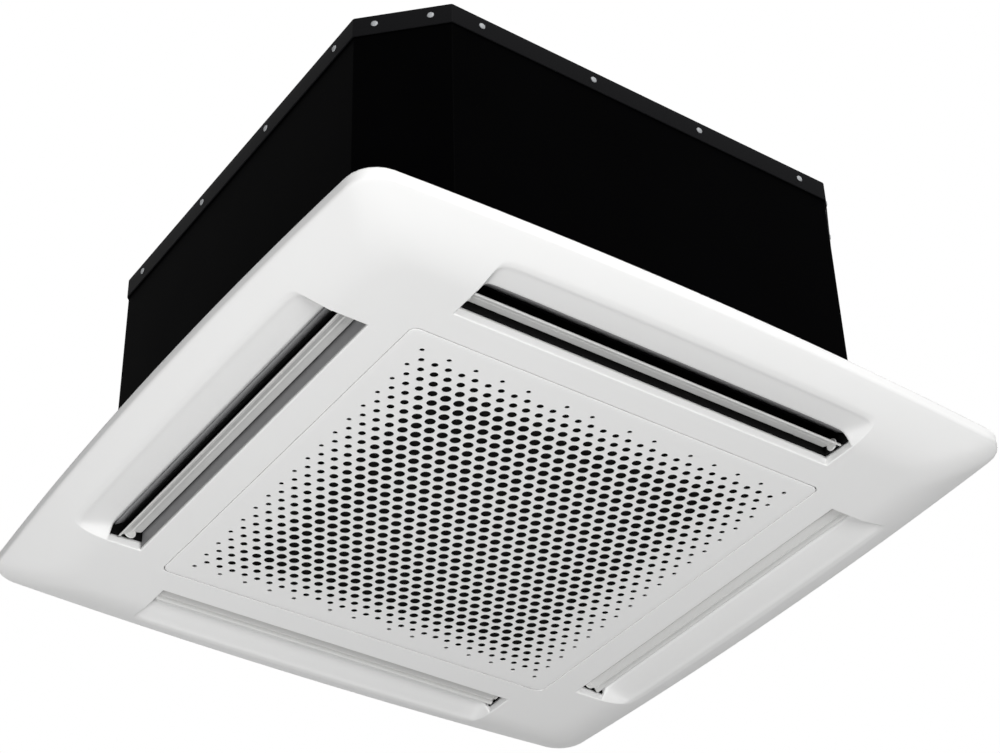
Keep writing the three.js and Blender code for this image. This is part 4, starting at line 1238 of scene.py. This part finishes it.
@dataclass
class Cabinet:
    """The black octagonal cabinet: two folded side sheets and a top plate with a folded rim."""

    # The side sheets. A chamfer takes up its leg on each of its two sides.
    half: float = 285.0
    leg: float = 64.0
    base: float = 5.0
    sheet_top: float = 301.5
    sheet: float = 1.2
    bend: float = 3.0
    seam: float = 0.35
    # The top plate, its rim and what is pressed into it.
    rim_half: float = 286.8
    rim_low: float = 279.0
    top: float = 303.0
    rim_sheet: float = 1.5
    rim_round: float = 2.0
    pressed_border: tuple = ((268, 0.0), (266, -0.3), (262, -1.5), (258, -1.8))
    pad_rings: tuple = (
        (200, 0.55, -1.8), (140, 1, -1.8), (102, 1, -1.8), (99, 1, -1.5), (96, 1, -0.3), (93, 1, 0),
        (60, 1, 0), (22, 1, 0), (20, 1, -0.3), (18, 1, -1.2), (0, 1, -1.2),
    )
    # The rim's screws.
    screw_pitch: float = 126.0
    screw_z: float = 291.5
    chamfer_screw: float = 26.0

    def octagon(self, half: float, bend: float, steps: int = 6) -> Points:
        """The cabinet's outline at a distance from its middle, with rounded folds.

        Args:
            half: The distance of its sides from the middle.
            bend: Radius of its folds.
            steps: Points round each fold.

        Returns:
            Points in X and Y.
        """
        flat = self.half - self.leg + (half - self.half) * (math.sqrt(2) - 1)
        corner = np.array([[half, -flat], [half, flat]])
        corners = np.concatenate([
            np.column_stack([c * corner[:, 0] - s * corner[:, 1], s * corner[:, 0] + c * corner[:, 1]])
            for c, s in QUARTERS
        ])
        return soften(corners, bend, steps)

    def side_sheet(self, name: str, turns: int) -> None:
        """Makes one folded sheet that covers two sides and their chamfers.

        Args:
            name: The solid that it stands for.
            turns: Quarter turns from +X to the side where it starts.
        """
        flat, inward = self.half - self.leg, self.half - self.sheet
        short = flat - self.sheet * (math.sqrt(2) - 1)
        faces = [(self.half, flat, flat, self.bend)]
        faces += [(inward, short, flat - self.seam, self.bend - self.sheet)]
        outer, inner = (
            soften([[half, self.seam - flat], [half, fold], [fold, half], [-fold, half], [-half, end]],
                   bend, 6, closed=False)
            for half, fold, end, bend in faces
        )
        loop = np.concatenate([outer, inner[::-1]])
        heights = [self.base, self.base + 0.3, self.base + 60, self.sheet_top - 60, self.sheet_top]
        skin = Skin().add(stacked([(loop, z) for z in heights]), closed=True)
        for z in (self.base, self.sheet_top):
            skin.add(stacked([(outer, z), (inner, z)]))
        cosine, sine = QUARTERS[turns]
        skin.points = [turn_about_z(points, cosine, sine) for points in skin.points]
        piece(f"folded_{name}", skin, BLACK_STEEL, replaces=[name], smooth_angle=25)

    def top_skin(self) -> Skin:
        """The top plate: a rim, a rounded edge, and a plate with a pressed border and pad.

        The loops go from the rim's inside round its hem and over the top to the middle, and
        turn from the octagon into circles round the motor. Each of the pad's rings has its
        radius, its share of roundness and its drop below the top.

        Returns:
            The plate's skin.
        """
        half, low, top, bend = self.rim_half, self.rim_low, self.top, self.bend
        inner, hem, bevel = half - self.rim_sheet, 0.5, 0.4
        profile = [(inner, top - self.rim_sheet), (inner, low + hem)]
        profile += [(inner + bevel, low), (half - bevel, low), (half, low + hem)]
        for turn in np.linspace(0, math.pi / 2, 6):
            inwards, downwards = 1 - math.cos(turn), 1 - math.sin(turn)
            profile.append((half - self.rim_round * inwards, top - self.rim_round * downwards))
        profile += [(reach, top + drop) for reach, drop in self.pressed_border]
        loops = [(self.octagon(reach, bend), z) for reach, z in profile]
        field, last = profile[-1][0], loops[-1][0]
        angle = np.arctan2(last[:, 1], last[:, 0])
        for radius, share, drop in self.pad_rings:
            circle = radius * np.column_stack([np.cos(angle), np.sin(angle)])
            square = last * radius / field
            loops.append((circle * share + square * (1 - share), top + drop))
        under = top - 2 * self.rim_sheet
        back = [(self.octagon(inner, bend), top - self.rim_sheet), (last, under), (last * 0, under)]
        return Skin().add(stacked(loops), closed=True).add(stacked(back), closed=True)

    def screws(self) -> None:
        """Makes the small bright screws of the rim: rows along the sides, two on each chamfer."""
        head = [(0.0, 1.2), (1.4, 1.2), (2.4, 0.9), (3.1, 0.4), (3.3, 0.0), (0.0, 0.0)]
        shape = lay_along_x(revolve(head, 16))
        skin = Skin()
        places = [(self.rim_half, offset * self.screw_pitch, 0.0) for offset in (-1.5, -0.5, 0.5, 1.5)]
        chamfer = (self.half - self.leg / 2) * math.sqrt(2) + self.rim_half - self.half
        places += [(chamfer, side * self.chamfer_screw, math.pi / 4) for side in (-1, 1)]
        for away, along, turn in places:
            moved = shape + np.array([away, along, self.screw_z])
            skin.add_turned(turn_about_z(moved, math.cos(turn), math.sin(turn)), closed=True)
        piece("rim_screws", skin, MOTOR_STEEL)

    def build(self) -> None:
        """Makes the cabinet's sheets, its top plate and the screws of its rim."""
        self.side_sheet("side_sheet_right_back", 0)
        self.side_sheet("side_sheet_left_front", 2)
        piece("rimmed_top_plate", self.top_skin(), RIM_STEEL, replaces=["top_plate"], smooth_angle=25)
        self.screws()


# ---- Air path ----


@dataclass
class AirPath:
    """The bell mouth, the turbo fan with its nut, and the motor's shaft."""

    # The bell mouth.
    bell_half: float = 190.0
    bell_z: float = 37.0
    bell_top: float = 80.0
    bell_plate: float = 2.7
    throat: float = 140.0
    flare: float = 35.0
    wall: float = 2.0
    # The fan.
    fan_radius: float = 165.0
    inlet: float = 146.0
    fan_base: float = 76.0
    plate_z: float = 213.0
    fan_plate: float = 3.0
    ring_rise: float = 15.5
    ring_wall: float = 2.8
    hub: float = 16.0
    hub_fillet: float = 6.0
    hub_z: float = 190.0
    blades: int = 7
    blade_inner: float = 104.0
    blade_length: float = 67.5
    blade_sweep: float = 34.0
    # The shaft and its nut.
    shaft: float = 5.0
    shaft_z: tuple = (176.3, 240.3)
    nut: float = 9.0
    nut_height: float = 9.7
    gap: float = 0.3

    def bell(self) -> None:
        """Makes the bell mouth: a square plate that turns up into a quarter-ellipse throat."""
        turn = np.linspace(0, math.pi / 2, 14)
        radius = self.throat + self.flare * (1 - np.sin(turn))
        height = self.bell_top - (self.bell_top - self.bell_z) * np.cos(turn)
        plate_top = self.bell_z + self.bell_plate
        back = np.column_stack([radius + self.wall, height])[::-1]
        back = back[back[:, 1] > plate_top]
        foot = (self.throat + self.flare + self.wall, plate_top)
        rings = revolve([*np.column_stack([radius, height]), *back, foot], 96)
        unit = rings[0, :, :2] / np.abs(rings[0, :, :2]).max(1)[:, None]
        edge, outside = unit * (self.bell_half - 0.3), unit * self.bell_half
        levels = [(edge, plate_top), (outside, plate_top), (outside, self.bell_z), (edge, self.bell_z)]
        plate = np.concatenate([rings[-1:], stacked(levels), rings[:1]])
        skin = Skin().add(rings, closed=True).add(plate, closed=True)
        piece("bell_mouth_smooth", skin, BLACK_PLASTIC, replaces=["bell_mouth"])

    def shroud(self, share: Points) -> Points:
        """Middle line of the fan's ring: its radius grows by the power 1.35 of its height.

        Args:
            share: The share of the way up of each point.

        Returns:
            Points of radius and height.
        """
        inset = 1.5
        run = self.fan_radius - self.inlet - 2 * inset
        radius = self.inlet + inset + run * share**1.35
        return np.column_stack([radius, self.fan_base + inset + self.ring_rise * share])

    def fan(self) -> None:
        """Makes the fan: a hub with a fillet, a back plate, a flared ring and swept blades."""
        top, reach, plate = self.plate_z + self.fan_plate, self.fan_radius, self.plate_z
        bore, hub, round_in = self.shaft + self.gap, self.hub, self.hub_fillet
        fillet = [
            (hub + round_in * (1 - math.cos(turn)), plate - round_in * (1 - math.sin(turn)))
            for turn in np.linspace(0, math.pi / 2, 6)
        ]
        profile = [(bore, self.hub_z), (hub - 0.6, self.hub_z), (hub, self.hub_z + 0.6), *fillet]
        profile += [(reach - 0.5, plate), (reach, plate + 0.5), (reach, top - 0.5), (reach - 0.5, top)]
        profile += [(bore, top), (bore, self.hub_z)]
        skin = Skin().add(revolve(profile, 96), closed=True)
        middle = self.shroud(np.linspace(0, 1, 12))
        along = np.gradient(middle, axis=0)
        along /= np.linalg.norm(along, axis=1, keepdims=True)
        square = np.column_stack([along[:, 1], -along[:, 0]]) * self.ring_wall / 2
        ring = [*(middle + square), *(middle - square)[::-1], middle[0] + square[0]]
        skin.add(revolve(ring, 96), closed=True)
        for number in range(self.blades):
            angle = 2 * math.pi * number / self.blades
            skin.add(turn_about_z(self.blade(), math.cos(angle), math.sin(angle)), closed=True)
        piece("turbo_fan_smooth", skin, BLACK_PLASTIC, "fan", ["turbo_fan"])

    def blade(self) -> Points:
        """One blade from the ring up to the back plate, as a curved wing section.

        Its middle line stands 6 sin(pi s) + 4 s + 1.5 beside its chord, and its half thickness
        is 1.4 (1 - (2s - 1)^6)^(1/2).

        Returns:
            A grid of one row for each height.
        """
        share = (1 - np.cos(np.linspace(0, np.pi, 24))) / 2
        line = 6 * np.sin(np.pi * share) + 4 * share + 1.5
        half = 1.4 * np.sqrt(np.maximum(1 - (2 * share - 1) ** 6, 0))
        along = np.concatenate([share, share[-2:0:-1]]) * self.blade_length
        beside = np.concatenate([line + half, (line - half)[-2:0:-1]])
        lean = math.radians(self.blade_sweep)
        x = self.blade_inner + along * math.cos(lean) - beside * math.sin(lean)
        y = along * math.sin(lean) + beside * math.cos(lean)
        ring = self.shroud(np.linspace(0, 1, 12))
        radius, into_plate = np.hypot(x, y), self.plate_z + 0.5
        on_ring = np.interp(radius, ring[:, 0], ring[:, 1])
        foot = np.where(radius < self.inlet + 3, self.fan_base + 10, on_ring)
        rows = [np.column_stack([x, y, foot + (into_plate - foot) * s]) for s in np.linspace(0, 1, 9)]
        return capped(np.stack(rows))

    def build(self) -> None:
        """Makes the bell mouth, the fan, its nut and the shaft."""
        self.bell()
        self.fan()
        nut_z = self.hub_z - self.gap - self.nut_height
        nut = hexagon_nut(self.nut, nut_z, self.nut_height, self.shaft + self.gap)
        piece("fan_nut_smooth", Skin().add(nut, closed=True), ZINC_STEEL, "fan", ["fan_nut"])
        low, high = self.shaft_z
        profile = [(0, low), (self.shaft - 0.8, low), (self.shaft, low + 0.8), (self.shaft, high - 0.5)]
        profile += [(self.shaft - 0.5, high), (0, high)]
        shaft = Skin().add(revolve(profile, 40), closed=True)
        piece("motor_shaft_smooth", shaft, BRIGHT_STEEL, "fan", ["motor_shaft"])


# ---- Pipes and drain ----


@dataclass
class Fittings:
    """The two refrigerant pipes with their flare nuts, and the drain port."""

    # The pipes: each path is given up to its last run, and each nut by its radius and length.
    reach: float = 322.5
    nut_lip: float = 4.0
    wall: float = 0.9
    gas: float = 6.35
    gas_path: tuple = ((220.0, 140.3, 205.0), (220.0, 175.0, 205.0))
    gas_bend: float = 25.0
    gas_nut: tuple = (12.0, 22.0)
    liquid: float = 3.175
    liquid_path: tuple = ((200.0, 156.0, 150.3), (200.0, 156.0, 175.0))
    liquid_bend: float = 15.0
    liquid_nut: tuple = (9.0, 18.0)
    # The drain port: where its tube starts, its flange lies and its tube ends along Y.
    port: float = 13.0
    port_wall: float = 3.0
    port_y: tuple = (269.5, 285.3, 287.3, 321.0)
    port_flange: float = 16.0
    port_place: tuple = (206.0, 215.0)

    def pipe(self, name: str, radius: float, start: tuple, bend: float, flat: tuple) -> None:
        """Makes one bent tube that ends at the common reach along X.

        Args:
            name: The solid that it stands for.
            radius: Its outer radius.
            start: The corners of its path up to the last run.
            bend: Radius of its bends.
            flat: The direction square to the path's plane.
        """
        last = (self.reach, *start[-1][1:])
        path = soften([*start, last], bend, 14, closed=False)
        outer, inner = sweep(path, radius, 36, flat), sweep(path, radius - self.wall, 36, flat)
        tube = np.concatenate([outer, inner[::-1], outer[:1]])
        piece(f"{name}_smooth", Skin().add(tube, closed=True), COPPER, replaces=[name])

    def flare_nut(self, name: str, size: tuple, pipe: float, place: tuple) -> None:
        """Makes one flare nut over the end of a tube.

        Args:
            name: The solid that it stands for.
            size: Its radius to a corner and its length.
            pipe: The tube's radius.
            place: A point of the tube's axis.
        """
        radius, length = size
        nut = hexagon_nut(radius, self.reach + self.nut_lip - length, length, pipe + 0.6)
        moved = lay_along_x(nut) + np.array([0, *place[1:]])
        piece(f"{name}_smooth", Skin().add(moved, closed=True), BRASS, replaces=[name])

    def drain_port(self) -> None:
        """Makes the drain port: a tube along Y that passes through a round-cornered flange."""
        start, flange, face, end = self.port_y
        bore, angle = self.port - self.port_wall, np.linspace(0, 2 * np.pi, 64, endpoint=False)
        unit = np.column_stack([np.cos(angle), np.sin(angle)])
        reach = self.port_flange / np.abs(unit).max(1)
        square = np.minimum(reach, self.port_flange * 1.28)
        edge, fillet, lip, port = 0.4, 0.8, 0.5, self.port
        levels = [(bore, start), (port - 0.3, start), (port, start + 0.3), (port, flange)]
        levels += [(square - edge, flange), (square, flange + edge), (square, face - edge)]
        levels += [(square - edge, face), (port + fillet, face), (port, face + fillet)]
        levels += [(port, end - lip), (port - lip, end), (bore + lip, end), (bore, end - lip)]
        levels += [(bore, start)]
        middle = np.array(self.port_place)
        loops = [(unit * np.broadcast_to(radius, 64)[:, None] + middle, y) for radius, y in levels]
        grid = stacked(loops)[..., [0, 2, 1]]
        piece("drain_port_smooth", Skin().add(grid, closed=True), GREY_PLASTIC_AND_PAINTED_SHADE, replaces=["drain_port"])

    def build(self) -> None:
        """Makes the pipes, their nuts and the drain port."""
        self.pipe("gas_pipe", self.gas, self.gas_path, self.gas_bend, (0, 0, 1))
        self.pipe("liquid_pipe", self.liquid, self.liquid_path, self.liquid_bend, (0, 1, 0))
        self.flare_nut("gas_flare_nut", self.gas_nut, self.gas, self.gas_path[-1])
        self.flare_nut("liquid_flare_nut", self.liquid_nut, self.liquid, self.liquid_path[-1])
        self.drain_port()


# ---- Carried-over solids ----


def dress_solids() -> None:
    """Gives each solid that still shows the finish of its slot in the record."""
    for part in frame["record"]["subparts"]:
        node = frame["nodes"][part["node"]]
        if node.hide_render:
            continue
        node.data.materials.clear()
        node.data.materials.append(FINISHES[part["material_slot"]].material())
        log.info("%s: solid in %s", part["node"], part["material_slot"])


# ---- Studio ----


@dataclass
class Studio:
    """The camera, floor, lamps and background."""

    position: tuple = (-1031.3, -1475.0, -1215.4)
    azimuth: float = 35.58
    elevation: float = 37.22
    roll: float = -1.77
    lens: float = 82.02
    floor_z: float = -2600.0
    floor_glow: float = 0.95
    ambient: float = 0.12
    key_power: float = 67.0
    fill_power: float = 53.0
    fold_power: float = 60.0
    top_power: float = 100.0

    def camera(self) -> None:
        """Makes the camera: it looks up at the panel from below a corner."""
        az, el, roll = (math.radians(v) for v in (self.azimuth, self.elevation, self.roll))
        forward = Vector((math.cos(el) * math.sin(az), math.cos(el) * math.cos(az), math.sin(el)))
        right = forward.cross(Vector((0, 0, 1))).normalized()
        up = right.cross(forward)
        across = math.cos(roll) * right + math.sin(roll) * up
        upward = math.cos(roll) * up - math.sin(roll) * right
        data = bpy.data.cameras.new("camera")
        data.lens = self.lens
        data.sensor_width = 36
        data.sensor_fit = "HORIZONTAL"
        data.clip_end = 50
        camera = bpy.data.objects.new("camera", data)
        turn = Matrix((across, upward, -forward)).transposed().to_4x4()
        camera.matrix_world = Matrix.Translation(Vector(self.position) * MM) @ turn
        bpy.context.scene.collection.objects.link(camera)
        bpy.context.scene.camera = camera

    def lamp(self, name: str, place: tuple, aim: tuple, size: float, power: float) -> None:
        """Makes a square soft lamp.

        Args:
            name: Its name.
            place: Where it stands, in metres.
            aim: Where it looks, in metres.
            size: Its side, in metres.
            power: Its power, in watts.
        """
        data = bpy.data.lights.new(name, "AREA")
        data.shape = "SQUARE"
        data.size = size
        data.energy = power
        lamp = bpy.data.objects.new(name, data)
        lamp.visible_camera = False
        lamp.location = place
        lamp.rotation_euler = (Vector(aim) - Vector(place)).to_track_quat("-Z", "Y").to_euler()
        bpy.context.scene.collection.objects.link(lamp)

    @staticmethod
    def seen(tree: Tree) -> Socket:
        """Whether a ray shows the background: straight to the camera, in a gloss or through glass.

        Args:
            tree: The nodes of the world or of a material.

        Returns:
            The socket, which is 1 for these rays and 0 for those that light the object.
        """
        path = tree.nodes.new("ShaderNodeLightPath")
        found = path.outputs["Is Camera Ray"]
        for kind in ("Is Glossy Ray", "Is Transmission Ray"):
            either = tree.nodes.new("ShaderNodeMath")
            either.operation = "MAXIMUM"
            tree.links.new(found, either.inputs[0])
            tree.links.new(path.outputs[kind], either.inputs[1])
            found = either.outputs["Value"]
        return found

    def world(self) -> None:
        """A white background where it is seen, and soft grey light for everything else."""
        world = bpy.data.worlds.new("studio")
        bpy.context.scene.world = world
        world.use_nodes = True
        tree = world.node_tree
        tree.nodes.clear()
        soft = tree.nodes.new("ShaderNodeBackground")
        soft.inputs["Color"].default_value = (1, 1, 1, 1)
        soft.inputs["Strength"].default_value = self.ambient
        white = tree.nodes.new("ShaderNodeBackground")
        white.inputs["Color"].default_value = (1, 1, 1, 1)
        white.inputs["Strength"].default_value = 1.0
        mix = tree.nodes.new("ShaderNodeMixShader")
        tree.links.new(self.seen(tree), mix.inputs["Fac"])
        tree.links.new(soft.outputs["Background"], mix.inputs[1])
        tree.links.new(white.outputs["Background"], mix.inputs[2])
        output = tree.nodes.new("ShaderNodeOutputWorld")
        tree.links.new(mix.outputs["Shader"], output.inputs["Surface"])

    def floor(self) -> None:
        """A wide pale floor, a room's height below the unit."""
        reach = 6000.0
        x, y = np.meshgrid([-reach, reach], [-reach, reach])
        grid = np.stack([x, y, np.full_like(x, self.floor_z)], -1)
        mesh = Skin().add(grid).mesh("floor")
        floor = bpy.data.objects.new("floor", mesh)
        bpy.context.scene.collection.objects.link(floor)
        paint = Finish("floor_paint", (0.3, 0.3, 0.3), 0.8, Grain.PAINTED, specular=0.1).material()
        tree = paint.node_tree
        glow = tree.nodes.new("ShaderNodeEmission")
        glow.inputs["Strength"].default_value = self.floor_glow
        mix = tree.nodes.new("ShaderNodeMixShader")
        both = tree.nodes.new("ShaderNodeAddShader")
        shader, output = tree.nodes["Principled BSDF"], tree.nodes["Material Output"]
        tree.links.new(shader.outputs["BSDF"], both.inputs[0])
        tree.links.new(glow.outputs["Emission"], both.inputs[1])
        tree.links.new(self.seen(tree), mix.inputs["Fac"])
        tree.links.new(shader.outputs["BSDF"], mix.inputs[1])
        tree.links.new(both.outputs["Shader"], mix.inputs[2])
        tree.links.new(mix.outputs["Shader"], output.inputs["Surface"])
        mesh.materials.append(paint)
        face_down(floor)
        mesh.flip_normals()

    def build(self) -> None:
        """Sets the stage."""
        self.camera()
        self.world()
        self.floor()
        self.lamp("key", (-0.4, -3.2, -1.3), (0, 0, 0), 1.2, self.key_power)
        self.lamp("fill", (-1.6, -0.4, -2.3), (0, 0, 0), 1.6, self.fill_power)
        self.lamp("fold", (-0.6, -2.62, 2.0), (-0.22, -0.28, 0.15), 0.5, self.fold_power)
        self.lamp("top", (2.0, 1.4, 2.4), (0, 0, 0), 1.8, self.top_power)
        bpy.context.scene.view_settings.view_transform = "Standard"


def main() -> None:
    """Builds the scene piece by piece."""
    logging.basicConfig(level=logging.INFO, format="%(name)s %(message)s")
    Studio().build()
    for assembly in (Panel(), Vanes(), Grille(), Cabinet(), AirPath(), Fittings()):
        assembly.build()
    dress_solids()


if __name__ == "__main__":
    main()
